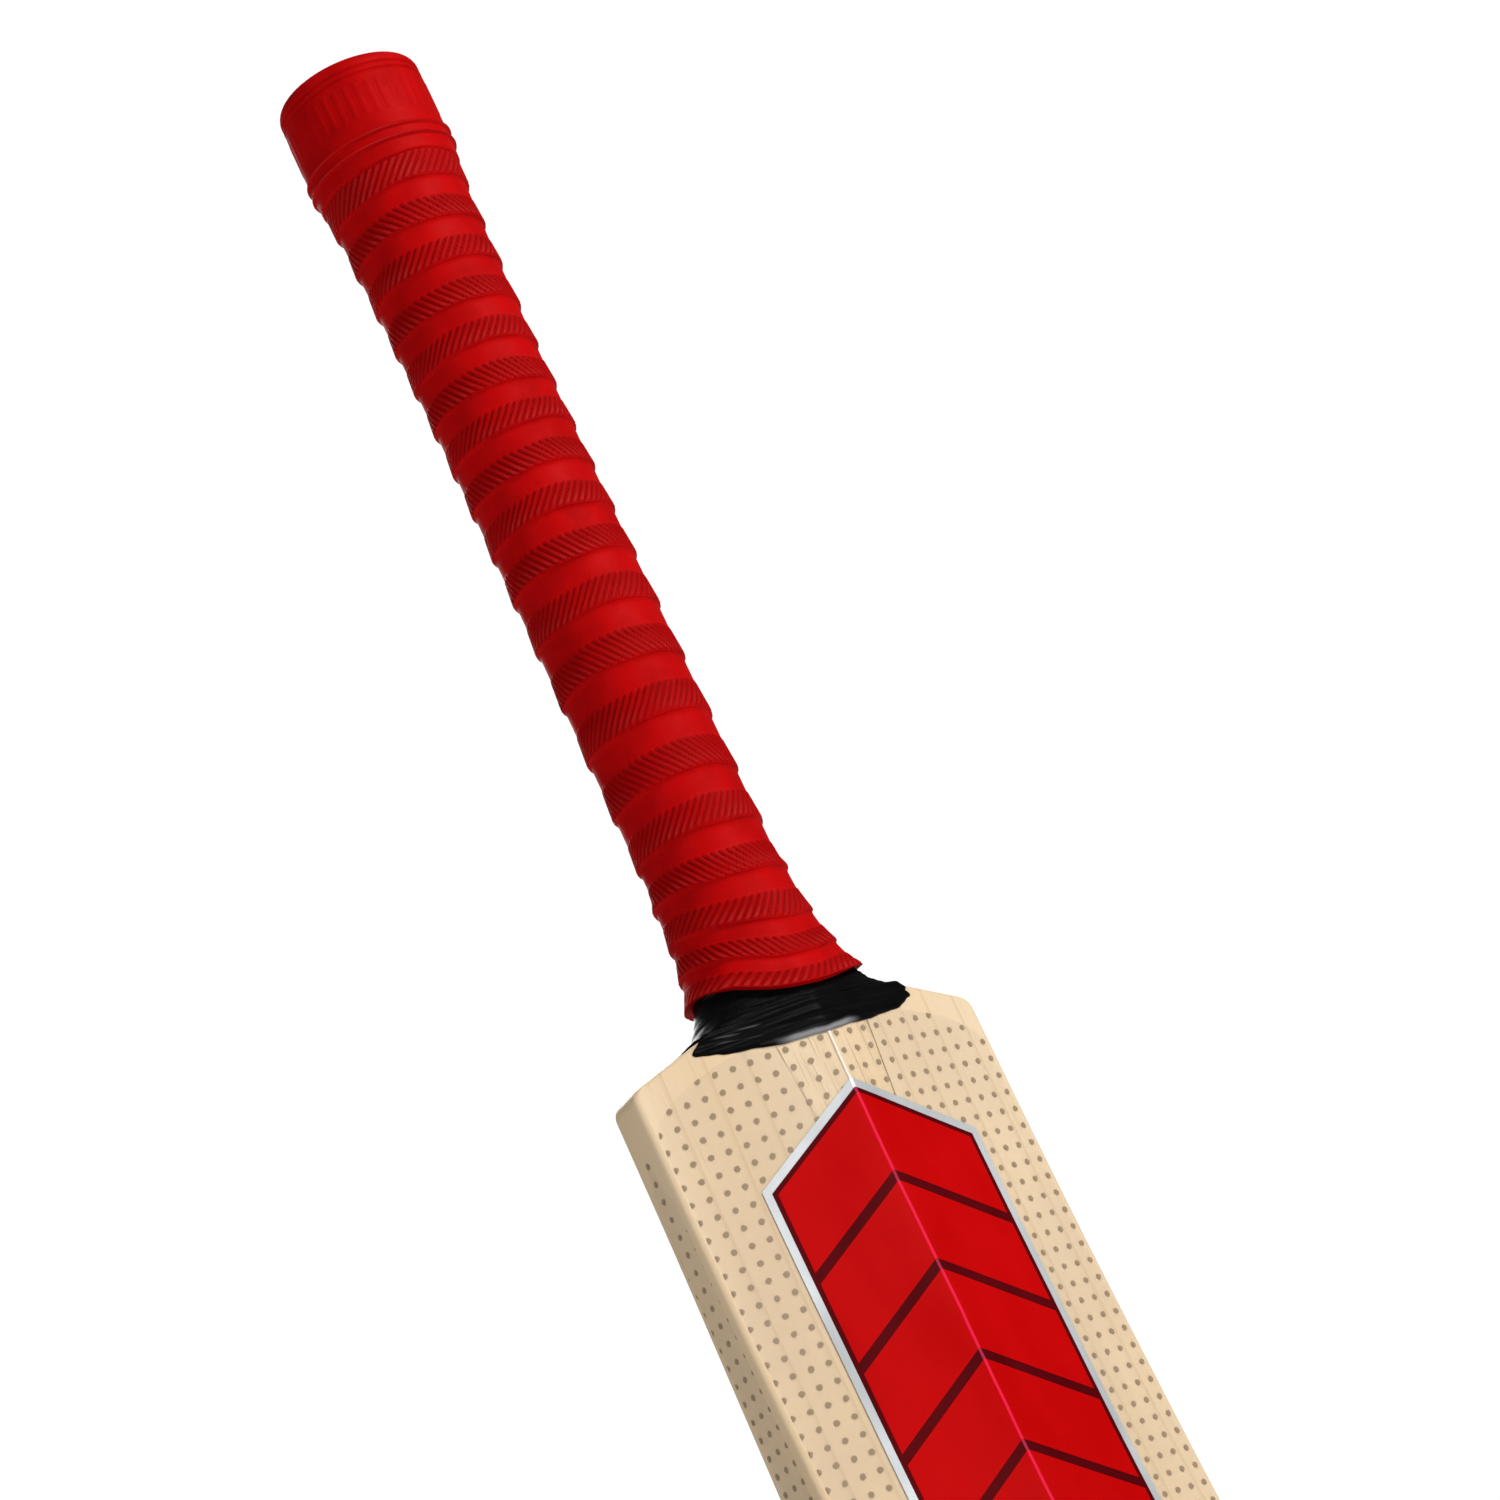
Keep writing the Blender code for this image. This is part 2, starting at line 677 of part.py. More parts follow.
def make_face_sticker(foil):
    film_top = FACE_FILM_FOOT + FACE_FILM_LENGTH
    top = film_top + FACE_STICKER_ABOVE_FILM + FACE_STICKER_LENGTH
    outline = banner_outline(FACE_STICKER_HALF_WIDTH, top, FACE_STICKER_LENGTH)
    skin("face_sticker", outline, (0.0, CUT_REACH), "xz", GAP, FILM_THICKNESS, foil)


# ---------------------------------------------------------------- the bat


def clear_scene():
    for obj in list(bpy.data.objects):
        bpy.data.objects.remove(obj)


def main():
    clear_scene()
    willow = material("willow", (0.78, 0.62, 0.40), 0.55)
    cane = material("cane", (0.62, 0.45, 0.24), 0.60)
    spring_rubber = material("spring_rubber", (0.02, 0.02, 0.02), 0.80)
    twine = material("twine", (0.70, 0.62, 0.48), 0.85)
    grip_rubber = material("grip_rubber", (0.45, 0.0, 0.0), 0.45)
    vinyl = material("black_tape", (0.012, 0.012, 0.012), 0.25)
    film = material("clear_film", (0.76, 0.64, 0.46), 0.20)
    foil = material("sticker_foil", (0.50, 0.0, 0.0), 0.30)
    toe_rubber = material("toe_rubber", (0.03, 0.03, 0.03), 0.70)

    make_blade(willow)
    make_toe_guard(toe_rubber)
    make_handle(cane, spring_rubber)
    make_binding(twine)
    make_grip(grip_rubber)
    make_tape(vinyl)
    make_back_film(film)
    make_face_film(film)
    make_edge_films(film)
    make_back_stickers(foil)
    make_face_sticker(foil)


main()
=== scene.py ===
"""Cricket bat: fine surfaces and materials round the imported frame.

The bat stands on its toe: +Z runs up the handle, -Y is the spined back, +Y the hitting face. All sizes
are in metres.
"""

import math

import bmesh
import bpy
import numpy as np
from mathutils import Matrix, Vector


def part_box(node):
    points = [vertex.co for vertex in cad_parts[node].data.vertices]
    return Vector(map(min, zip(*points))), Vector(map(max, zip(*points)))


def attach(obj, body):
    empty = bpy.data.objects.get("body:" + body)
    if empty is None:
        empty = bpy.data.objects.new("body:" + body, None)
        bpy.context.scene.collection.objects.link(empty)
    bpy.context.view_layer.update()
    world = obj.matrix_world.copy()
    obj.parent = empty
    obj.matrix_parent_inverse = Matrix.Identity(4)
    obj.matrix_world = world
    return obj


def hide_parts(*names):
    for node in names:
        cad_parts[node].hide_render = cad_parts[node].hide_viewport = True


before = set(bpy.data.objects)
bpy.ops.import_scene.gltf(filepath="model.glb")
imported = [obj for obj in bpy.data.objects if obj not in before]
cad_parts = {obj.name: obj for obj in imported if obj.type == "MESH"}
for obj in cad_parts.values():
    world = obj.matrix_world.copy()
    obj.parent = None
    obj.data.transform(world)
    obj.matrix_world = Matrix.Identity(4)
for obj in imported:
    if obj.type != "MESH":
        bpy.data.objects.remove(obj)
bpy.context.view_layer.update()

# ---------------------------------------------------------------- sizes, as the frame has them

OVERALL_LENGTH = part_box("grip")[1].z
BLADE_LENGTH = 0.561
HALF = 0.054
FACE_CROWN = 0.0020
SPINE_SOFTNESS = 0.03
EDGE_RADIUS = 0.0020
TOE_CORNER_RADIUS = 0.014
TOE_GUARD_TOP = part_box("toe_guard")[1].z
TOE_ROUNDING = 0.0015
# Share of the blade's length from the toe, height of the face's edge, edge thickness, spine height
BLADE_STATIONS = (
    (0.00, 0.0140, 0.0190, 0.0090),
    (0.10, 0.0160, 0.0270, 0.0140),
    (0.22, 0.0175, 0.0340, 0.0200),
    (0.36, 0.0180, 0.0380, 0.0240),
    (0.54, 0.0165, 0.0315, 0.0185),
    (0.74, 0.0125, 0.0208, 0.0100),
    (0.85, 0.0102, 0.0158, 0.0114),
    (0.92, 0.0088, 0.0136, 0.0115),
    (1.00, 0.0080, 0.0125, 0.0126),
)
SHOULDER_CORNER_RADIUS = 0.0040
SHOULDER_DROOP = math.radians(18)
ROOT_HALF_WIDTH = 0.0310
ROOT_FILLET_HEIGHT = 0.040
FILLET_TOP = BLADE_LENGTH + ROOT_FILLET_HEIGHT
HORN_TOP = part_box("blade")[1].z

SPLICE_LENGTH = 0.130
SPLICE_HALF_WIDTH = 0.0155
SPLICE_TIP_HALF_WIDTH = 0.0025
HANDLE_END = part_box("cane_slat_1_1")[1].z
HANDLE_RADIUS = 0.0140
HANDLE_KNOB_RADIUS = 0.0162
KNOB_LENGTH = 0.024
KNOB_FLARE_LENGTH = 0.092
BINDING_OVER_CANE = 0.0011
CANE_LAYERS = 4
CANE_STRIPS = 3
SPRING_THICKNESS = 0.0012
GLUE_LINE = 0.00006

GRIP_WALL = 0.0016
GRIP_COLLAR_EXTRA = 0.0011
GRIP_MOUTH_RADIUS = 0.0125
GRIP_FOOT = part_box("grip")[0].z
COLLAR_FOOT = OVERALL_LENGTH - 0.0325
RING_STEP = 0.0009
RING_PITCH = 0.0126
RING_STRETCH = 0.0044
RING_STRETCH_AT = 12.2
RING_STRETCH_SPREAD = 3.0
RING_FIRST_BELOW_TOP = 0.040
GROOVES = 52
GROOVE_DEPTH = 0.00042
GROOVE_LEAN = math.radians(37)

TAPE_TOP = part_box("shoulder_tape")[1].z
CUT_REACH = 0.2


# ---------------------------------------------------------------- the bat's curves


def ease(share):
    """Smooth step from 0 to 1, for a number or an array."""
    share = np.clip(share, 0.0, 1.0)
    return share * share * (3 - 2 * share)


def mix(first, second, share):
    return first + (second - first) * share


def station_slope(index, column):
    """Slope of one station value, from its two neighbours."""
    before = BLADE_STATIONS[max(index - 1, 0)]
    after = BLADE_STATIONS[min(index + 1, len(BLADE_STATIONS) - 1)]
    return (after[column] - before[column]) / (after[0] - before[0])


def blade_value(z, column):
    """One station value at height z, on a smooth curve through the stations."""
    share = min(max(z / BLADE_LENGTH, 0.0), 1.0)
    index = 0
    while index < len(BLADE_STATIONS) - 2 and share > BLADE_STATIONS[index + 1][0]:
        index += 1
    start, end = BLADE_STATIONS[index], BLADE_STATIONS[index + 1]
    span = end[0] - start[0]
    t = (share - start[0]) / span
    leave = t * (1 - t) ** 2 * span * station_slope(index, column)
    arrive = t * t * (t - 1) * span * station_slope(index + 1, column)
    return mix(start[column], end[column], ease(t)) + leave + arrive


def front_y(x, z):
    """Hitting face: crowned across the blade."""
    return blade_value(z, 1) + FACE_CROWN * (1 - (x / HALF) ** 2)


def back_y(x, z):
    """Back: two slopes that meet in a softened spine."""
    soft = SPINE_SOFTNESS
    slope = (np.hypot(x / HALF, soft) - soft) / (math.hypot(1, soft) - soft)
    return blade_value(z, 1) - blade_value(z, 2) - blade_value(z, 3) * (1 - slope)


def handle_radius(z):
    """Radius of the round cane handle, which flares into a knob at its end."""
    flare_start = HANDLE_END - KNOB_LENGTH - KNOB_FLARE_LENGTH
    share = min(max((z - flare_start) / KNOB_FLARE_LENGTH, 0.0), 1.0)
    return mix(HANDLE_RADIUS, HANDLE_KNOB_RADIUS, share * share)


def shoulder_corner():
    """Centre (half width, height) of the shoulder corner's arc, and the height where the arc ends."""
    centre_x = HALF - SHOULDER_CORNER_RADIUS
    turn = math.pi / 2 - SHOULDER_DROOP
    arc_end_x = centre_x + SHOULDER_CORNER_RADIUS * math.cos(turn)
    arc_end_z = BLADE_LENGTH - (arc_end_x - ROOT_HALF_WIDTH) * math.tan(SHOULDER_DROOP)
    return centre_x, arc_end_z - SHOULDER_CORNER_RADIUS * math.sin(turn), arc_end_z


def root_share(z):
    """How far the root has turned from the blade's slab (0) into the handle's circle (1)."""
    fall = min(max((FILLET_TOP - z) / ROOT_FILLET_HEIGHT, 0.0), 1.0)
    return math.sqrt(1 - fall * fall)


def half_width(z):
    """Half width of the bat's outline at height z, from the toe to the end of the handle."""
    corner_x, corner_z, slope_z = shoulder_corner()
    if z < TOE_CORNER_RADIUS:
        rise = TOE_CORNER_RADIUS - z
        return HALF - TOE_CORNER_RADIUS + math.sqrt(TOE_CORNER_RADIUS**2 - rise**2)
    if z <= corner_z:
        return HALF
    if z < slope_z:
        return corner_x + math.sqrt(SHOULDER_CORNER_RADIUS**2 - (z - corner_z) ** 2)
    if z < BLADE_LENGTH:
        return ROOT_HALF_WIDTH + (BLADE_LENGTH - z) / math.tan(SHOULDER_DROOP)
    if z < FILLET_TOP:
        return mix(ROOT_HALF_WIDTH, handle_radius(FILLET_TOP) + BINDING_OVER_CANE, root_share(z))
    return handle_radius(z) + BINDING_OVER_CANE


def outline_slope(z):
    """How fast the half width changes with height."""
    reach = 0.0001
    return (half_width(z + reach) - half_width(z - reach)) / (2 * reach)


def splice_half_width(z):
    share = (z - (BLADE_LENGTH - SPLICE_LENGTH)) / SPLICE_LENGTH
    return mix(SPLICE_TIP_HALF_WIDTH, SPLICE_HALF_WIDTH, min(share, 1.0))


# ---------------------------------------------------------------- sections across the bat

FACE_STEPS = 24
CORNER_STEPS = 7
BACK_STEPS = 36
SPINE_CROWDING = 1.5


def slab_section(z, half, radius, shift=0.0):
    """Closed section of the blade as (x, y), clockwise from the middle of the face."""
    level = min(z, BLADE_LENGTH)
    radius = min(radius, half / 2)
    flat = half - radius
    across = flat * np.arange(FACE_STEPS) / FACE_STEPS
    points = [np.column_stack([across, front_y(across, level) + shift])]
    front = front_y(flat, level) + shift - radius
    back = back_y(flat, level) - shift + radius
    turn = np.pi / 2 * np.arange(CORNER_STEPS + 1) / CORNER_STEPS
    for centre_y, start in ((front, np.pi / 2), (back, 0.0)):
        angle = start - turn
        points.append(np.column_stack([flat + radius * np.cos(angle), centre_y + radius * np.sin(angle)]))
    across = flat * (1 - np.arange(1, BACK_STEPS + 1) / BACK_STEPS) ** SPINE_CROWDING
    points.append(np.column_stack([across, back_y(across, level) - shift]))
    right = np.vstack(points)
    left = right[1:-1][::-1] * (-1, 1)
    return np.vstack([right, left])


def oval_section(half, radius, count):
    """Closed oval as (x, y), clockwise from the middle of the face."""
    angle = np.pi / 2 - 2 * np.pi * np.arange(count) / count
    return np.column_stack([half * np.cos(angle), radius * np.sin(angle)])


def even_section(points, count):
    """The same closed outline with its points evenly spaced along it."""
    loop = np.vstack([points, points[:1]])
    run = np.concatenate([[0.0], np.cumsum(np.linalg.norm(np.diff(loop, axis=0), axis=1))])
    at = np.linspace(0.0, run[-1], count, endpoint=False)
    return np.column_stack([np.interp(at, run, loop[:, axis]) for axis in (0, 1)])


def wrap_section(z, count):
    """Outline of the root and the handle at height z, which the grip and the tape follow."""
    radius = handle_radius(z) + BINDING_OVER_CANE
    if z >= FILLET_TOP:
        return oval_section(radius, radius, count)
    half = half_width(z)
    slab = even_section(slab_section(z, half, EDGE_RADIUS), count)
    oval = even_section(oval_section(half, radius, 4 * count), count)
    return mix(slab, oval, root_share(z))


def section_normals(points):
    """Outward directions of a closed clockwise outline."""
    along = np.roll(points, -1, axis=0) - np.roll(points, 1, axis=0)
    normal = np.column_stack([-along[:, 1], along[:, 0]])
    return normal / np.linalg.norm(normal, axis=1)[:, None]


class Wrap:
    """The bat's outline between two heights, ready to be read at any height of any column."""

    def __init__(self, heights, count):
        self.heights = np.array(heights)
        self.count = count
        sections = [wrap_section(z, count) for z in heights]
        normals = [section_normals(section) for section in sections]
        slopes = np.array([outline_slope(z) for z in heights])
        self.points = np.array(sections)
        self.normals = np.array(normals)
        self.rise = -slopes[:, None] * np.abs(self.normals[:, :, 0])

    def at(self, z, grow, tilt=True):
        """Points (levels, count, 3) at heights z, moved outwards by grow. Both are (levels, count)."""
        place = np.interp(z, self.heights, np.arange(len(self.heights)))
        low = np.clip(place.astype(int), 0, len(self.heights) - 2)
        share = (place - low)[..., None]
        column = np.arange(self.count)[None, :]
        base = mix(self.points[low, column], self.points[low + 1, column], share)
        normal = mix(self.normals[low, column], self.normals[low + 1, column], share)
        rise = mix(self.rise[low, column], self.rise[low + 1, column], share[..., 0])
        if not tilt:
            rise = np.zeros_like(rise)
        outward = np.concatenate([normal, rise[..., None]], axis=2)
        outward /= np.linalg.norm(outward, axis=2)[..., None]
        spot = np.concatenate([base, z[..., None]], axis=2)
        return spot + outward * grow[..., None]


def ripple(around, height, waves):
    """Smooth unevenness: a sum of slanted waves, each (turns, waves per metre, phase, size)."""
    total = 0.0
    for turns, per_metre, phase, size in waves:
        total = total + size * np.sin(2 * np.pi * (turns * around + per_metre * height) + phase)
    return total


# ---------------------------------------------------------------- mesh tools


def link_mesh(name, mesh, surface, angle=35):
    """Outward faces, smooth shading, a material, and an object in the scene."""
    builder = bmesh.new()
    builder.from_mesh(mesh)
    bmesh.ops.recalc_face_normals(builder, faces=builder.faces)
    builder.to_mesh(mesh)
    builder.free()
    mesh.shade_smooth()
    mesh.set_sharp_from_angle(angle=math.radians(angle))
    if surface:
        mesh.materials.append(surface)
    obj = bpy.data.objects.new(name, mesh)
    bpy.context.scene.collection.objects.link(obj)
    return obj


def lattice(name, rows, surface, closed, angle=35):
    """Skin over rows of equally many points: a closed wall, or a solid capped at both ends."""
    rows = np.asarray(rows)
    levels, count = rows.shape[:2]
    level = np.arange(levels if closed else levels - 1)[:, None]
    column = np.arange(count)[None, :]
    after = (column + 1) % count
    above = (level + 1) % levels
    corners = (level * count + column, level * count + after, above * count + after, above * count + column)
    faces = np.stack(corners, axis=-1).reshape(-1, 4).tolist()
    if not closed:
        faces.append(list(range(count)))
        faces.append(list(range((levels - 1) * count, levels * count)))
    mesh = bpy.data.meshes.new(name)
    mesh.from_pydata(rows.reshape(-1, 3).tolist(), [], faces)
    return link_mesh(name, mesh, surface, angle)


def level_rings(sections, heights):
    """Rows of 3-D points from flat sections and their heights."""
    rows = []
    for section, z in zip(sections, heights):
        rows.append(np.column_stack([section, np.full(len(section), z)]))
    return np.array(rows)


def prism(name, outline, start, end, axes, surface=None):
    """Straight prism over an outline. axes says which coordinates the outline's two values are."""
    order = [axes.index(axis) if axis in axes else 2 for axis in "xyz"]
    rows = []
    for depth in (start, end):
        flat = np.column_stack([np.array(outline), np.full(len(outline), depth)])
        rows.append(flat[:, order])
    return lattice(name, rows, surface, closed=False)


def cut(obj, tool, operation):
    """Applies one Boolean to the object's mesh and removes the tool."""
    modifier = obj.modifiers.new(operation.lower(), "BOOLEAN")
    modifier.operation = operation
    modifier.object = tool
    modifier.solver = "EXACT"
    graph = bpy.context.evaluated_depsgraph_get()
    mesh = bpy.data.meshes.new_from_object(obj.evaluated_get(graph))
    obj.modifiers.clear()
    obj.data = mesh
    mesh.shade_smooth()
    mesh.set_sharp_from_angle(angle=math.radians(35))
    bpy.data.objects.remove(tool)


def place(obj, slot, *nodes):
    """The piece rides with the bat and stands for CAD nodes, which it hides. The slot argument is not used.
    """
    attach(obj, "root")
    if nodes:
        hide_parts(*nodes)
    return obj


def set_values(obj, name, values):
    """Stores one number for each point of a piece, for its material to read."""
    attribute = obj.data.attributes.new(name, "FLOAT", "POINT")
    attribute.data.foreach_set("value", np.asarray(values, np.float32).ravel())


# ---------------------------------------------------------------- material tools


class Surface:
    """A node material with one Principled BSDF, and short ways to add nodes to it."""

    def __init__(self, name, roughness, **sockets):
        self.material = bpy.data.materials.new(name)
        self.material.use_nodes = True
        self.tree = self.material.node_tree
        self.shader = self.tree.nodes["Principled BSDF"]
        self.shader.inputs["Roughness"].default_value = roughness
        for socket, value in sockets.items():
            self.shader.inputs[socket.replace("_", " ")].default_value = value
        self.place = self.node("ShaderNodeTexCoord").outputs["Object"]

    def node(self, kind, **settings):
        made = self.tree.nodes.new(kind)
        for key, value in settings.items():
            setattr(made, key, value)
        return made

    def feed(self, socket, value):
        """Links an output to a socket, or sets the socket to a plain value."""
        if isinstance(value, bpy.types.NodeSocket):
            self.tree.links.new(value, socket)
        else:
            socket.default_value = value

    def math(self, operation, *values):
        made = self.node("ShaderNodeMath", operation=operation)
        for socket, value in zip(made.inputs, values):
            self.feed(socket, value)
        return made.outputs[0]

    def times(self, *values):
        return self.math("MULTIPLY", *values)

    def plus(self, *values):
        return self.math("ADD", *values)

    def split(self):
        """The x, y and z of the place on the bat."""
        made = self.node("ShaderNodeSeparateXYZ")
        self.feed(made.inputs[0], self.place)
        return made.outputs

    def join(self, *values):
        made = self.node("ShaderNodeCombineXYZ")
        for socket, value in zip(made.inputs, values):
            self.feed(socket, value)
        return made.outputs[0]

    def texture(self, kind, scale, vector=None):
        """Texture node over the bat, or over a given vector, whose scale is (x, y, z) per metre."""
        mapping = self.node("ShaderNodeMapping")
        self.feed(mapping.inputs["Vector"], vector or self.place)
        mapping.inputs["Scale"].default_value = scale
        made = self.node(kind)
        self.feed(made.inputs["Vector"], mapping.outputs[0])
        made.inputs["Scale"].default_value = 1.0
        return made

    def noise(self, scale, detail=3.0, roughness=0.55, vector=None):
        made = self.texture("ShaderNodeTexNoise", scale, vector)
        made.inputs["Detail"].default_value = detail
        made.inputs["Roughness"].default_value = roughness
        return made.outputs["Fac"]

    def spots(self, scale):
        """Distance to the nearest of many scattered points."""
        return self.texture("ShaderNodeTexVoronoi", scale).outputs["Distance"]

    def range(self, value, low, high, to_low=0.0, to_high=1.0):
        """Smooth change from to_low to to_high as value goes from low to high."""
        made = self.node("ShaderNodeMapRange", interpolation_type="SMOOTHSTEP")
        for socket, given in zip(made.inputs, (value, low, high, to_low, to_high)):
            self.feed(socket, given)
        return made.outputs[0]

    def blend(self, share, first, second):
        """Mixes two colours; a plain colour is three numbers."""
        made = self.node("ShaderNodeMix", data_type="RGBA")
        self.feed(made.inputs["Factor"], share)
        for key, value in (("A", first), ("B", second)):
            socket = [s for s in made.inputs if s.name == key and s.type == "RGBA"][0]
            self.feed(socket, value if isinstance(value, bpy.types.NodeSocket) else (*value, 1.0))
        return [s for s in made.outputs if s.type == "RGBA"][0]

    def values(self, name):
        """Numbers stored on the piece's points."""
        return self.node("ShaderNodeAttribute", attribute_name=name).outputs["Fac"]

    def bump(self, height, distance, strength=1.0):
        made = self.node("ShaderNodeBump")
        made.inputs["Strength"].default_value = strength
        made.inputs["Distance"].default_value = distance
        self.feed(made.inputs["Height"], height)
        last = self.shader.inputs["Normal"]
        if last.is_linked:
            self.feed(made.inputs["Normal"], last.links[0].from_socket)
        self.feed(last, made.outputs["Normal"])

    def set(self, **sockets):
        for socket, value in sockets.items():
            self.feed(self.shader.inputs[socket.replace("_", " ")], value)


# ---------------------------------------------------------------- materials


def willow_colour(surface):
    """Pale willow: straight grain lines along the blade, fine fibres, flecks and a soft drift of tone."""
    x, y = surface.split()[:2]
    drift = surface.noise((22, 22, 3), detail=2)
    warp = surface.noise((9, 9, 2.2), detail=2)
    bend = surface.times(surface.math("SUBTRACT", warp, 0.5), 0.016)
    depth = surface.times(y, 0.10)
    shifted = surface.plus(surface.plus(x, bend), depth)
    ring = surface.math("FRACT", surface.times(surface.plus(shifted, 0.2037), 1 / 0.0105))
    late_wood = surface.range(surface.math("POWER", ring, 7.0), 0.25, 1.0)
    fibre = surface.noise((1100, 1100, 14), detail=4, roughness=0.7)
    fleck = surface.range(surface.noise((900, 900, 55), detail=2), 0.66, 0.74)
    colour = surface.blend(surface.range(drift, 0.3, 0.7), (0.68, 0.53, 0.35), (0.61, 0.445, 0.27))
    colour = surface.blend(surface.times(late_wood, 0.42), colour, (0.44, 0.29, 0.15))
    colour = surface.blend(surface.range(fibre, 0.35, 0.75, 0.0, 0.22), colour, (0.60, 0.43, 0.25))
    colour = surface.blend(surface.times(fleck, 0.30), colour, (0.45, 0.30, 0.16))
    return colour, fibre


def make_willow():
    surface = Surface("fine_willow", 0.5, Specular_IOR_Level=0.4)
    colour, fibre = willow_colour(surface)
    smudge = surface.range(surface.noise((60, 60, 40), detail=3), 0.55, 0.8, 0.0, 0.12)
    surface.set(Base_Color=surface.blend(smudge, colour, (0.55, 0.42, 0.28)))
    surface.set(Roughness=surface.range(fibre, 0.3, 0.8, 0.42, 0.58))
    surface.bump(fibre, 0.00006, 0.6)
    return surface.material


def make_cane():
    """Cane: dark pores and fibres along the handle, each slat in its own tone."""
    surface = Surface("fine_cane", 0.55)
    x, y = surface.split()[:2]
    strip = surface.math("FLOOR", surface.times(surface.plus(x, 0.014), 1 / 0.00933))
    layer = surface.math("FLOOR", surface.times(surface.plus(y, 0.014), 1 / 0.007))
    number = surface.plus(strip, surface.times(layer, 2.7))
    tone = surface.math("FRACT", surface.times(surface.math("SINE", number), 43.7))
    fibre = surface.noise((1500, 1500, 22), detail=4, roughness=0.7)
    pores = surface.range(surface.spots((1300, 1300, 18)), 0.18, 0.34, 1.0, 0.0)
    colour = surface.blend(tone, (0.76, 0.60, 0.39), (0.68, 0.50, 0.30))
    colour = surface.blend(surface.range(fibre, 0.35, 0.75, 0.0, 0.4), colour, (0.50, 0.33, 0.17))
    surface.set(Base_Color=surface.blend(surface.times(pores, 0.4), colour, (0.26, 0.15, 0.07)))
    surface.set(Roughness=surface.range(fibre, 0.3, 0.8, 0.45, 0.65))
    surface.bump(surface.math("SUBTRACT", fibre, pores), 0.00008, 0.7)
    return surface.material


def make_grip_rubber():
    """Moulded red rubber, with painted shade darkening its grooves and its hatched bands, and dust with a
    painted highlight on what stands out.
    """
    surface = Surface("fine_grip_rubber", 0.6, Specular_IOR_Level=0.03)
    relief = surface.values("relief")
    cloud = surface.noise((90, 90, 90), detail=4)
    grain = surface.noise((2600, 2600, 2600), detail=2)
    colour = surface.blend(surface.range(cloud, 0.3, 0.75), (0.42, 0.0006, 0.0010), (0.33, 0.0004, 0.0008))
    # painted shade: the colour darkens in the grooves, where the relief is low
    colour = surface.blend(surface.range(relief, 0.0, 0.5, 0.6, 0.0), colour, (0.13, 0.0002, 0.0004))
    # painted shade: the hatched bands are darkened
    shade = surface.times(surface.values("band"), 0.45)
    colour = surface.blend(shade, colour, (0.20, 0.0002, 0.0005))
    # dust and painted highlight: the raised edges are lightened
    dust_and_highlight = surface.times(surface.range(relief, 0.75, 1.0), surface.range(cloud, 0.35, 0.65))
    colour = surface.blend(surface.times(dust_and_highlight, 0.22), colour, (0.60, 0.05, 0.05))
    surface.set(Base_Color=colour)
    surface.set(Roughness=surface.range(cloud, 0.3, 0.7, 0.52, 0.68))
    surface.bump(grain, 0.00003, 0.5)
    return surface.material


def make_vinyl():
    """Glossy black tape with stretch marks along its winding, light streaks of painted highlight on its left
    side, and a painted reflection along its lower lip by the spine.
    """
    surface = Surface("fine_vinyl", 0.3, Specular_IOR_Level=0.03)
    x, y, z = surface.split()
    slant = surface.plus(z, surface.times(x, 0.12))
    streak = surface.noise((60, 60, 1500), detail=3, vector=surface.join(x, y, slant))
    cloud = surface.noise((120, 120, 300), detail=3, vector=surface.join(x, y, slant))
    # painted highlight: light streaks on the tape's left side
    painted_highlight = surface.noise((35, 35, 700), detail=2, vector=surface.join(x, y, slant))
    left_side = surface.times(surface.range(x, -0.010, -0.018), surface.range(x, -0.030, -0.025))
    painted_highlight = surface.times(surface.range(painted_highlight, 0.60, 0.72), left_side)
    colour = surface.blend(streak, (0.0008, 0.0008, 0.0009), (0.003, 0.003, 0.0032))
    colour = surface.blend(painted_highlight, colour, (0.07, 0.07, 0.072))
    # painted reflection: grey along the tape's lower lip by the spine
    surface.set(Base_Color=surface.blend(surface.values("painted_lip_reflection"), colour, (0.22, 0.22, 0.23)))
    surface.set(Roughness=surface.range(cloud, 0.3, 0.7, 0.34, 0.52))
    surface.bump(streak, 0.00003, 0.5)
    surface.bump(cloud, 0.0004, 0.4)
    return surface.material


DOT_PITCH = 0.0049
DOT_RADIUS = 0.00080
DOT_START = 1.0  # makes every place on the bat positive


def dot_mask(surface, across, along):
    """1 inside the printed dots of a square grid, 0 between them."""
    squares = []
    for value in (across, along):
        shifted = surface.plus(value, DOT_START)
        cell = surface.math("FRACT", surface.times(shifted, 1 / DOT_PITCH))
        offset = surface.times(surface.math("SUBTRACT", cell, 0.5), DOT_PITCH)
        squares.append(surface.times(offset, offset))
    distance = surface.math("SQRT", surface.plus(*squares))
    uneven = surface.times(surface.math("SUBTRACT", surface.noise((900, 900, 900)), 0.5), 0.0006)
    distance = surface.plus(distance, uneven)
    return surface.range(distance, DOT_RADIUS * 0.82, DOT_RADIUS * 1.12, 1.0, 0.0)


def crest_highlight_mask(surface):
    """1 on the thin painted highlight line that runs down the spine's crest."""
    wander = surface.times(surface.math("SUBTRACT", surface.noise((90, 90, 90)), 0.5), 0.0005)
    across = surface.math("ABSOLUTE", surface.plus(surface.split()[0], wander))
    return surface.range(across, 0.00025, 0.00055, 1.0, 0.0)


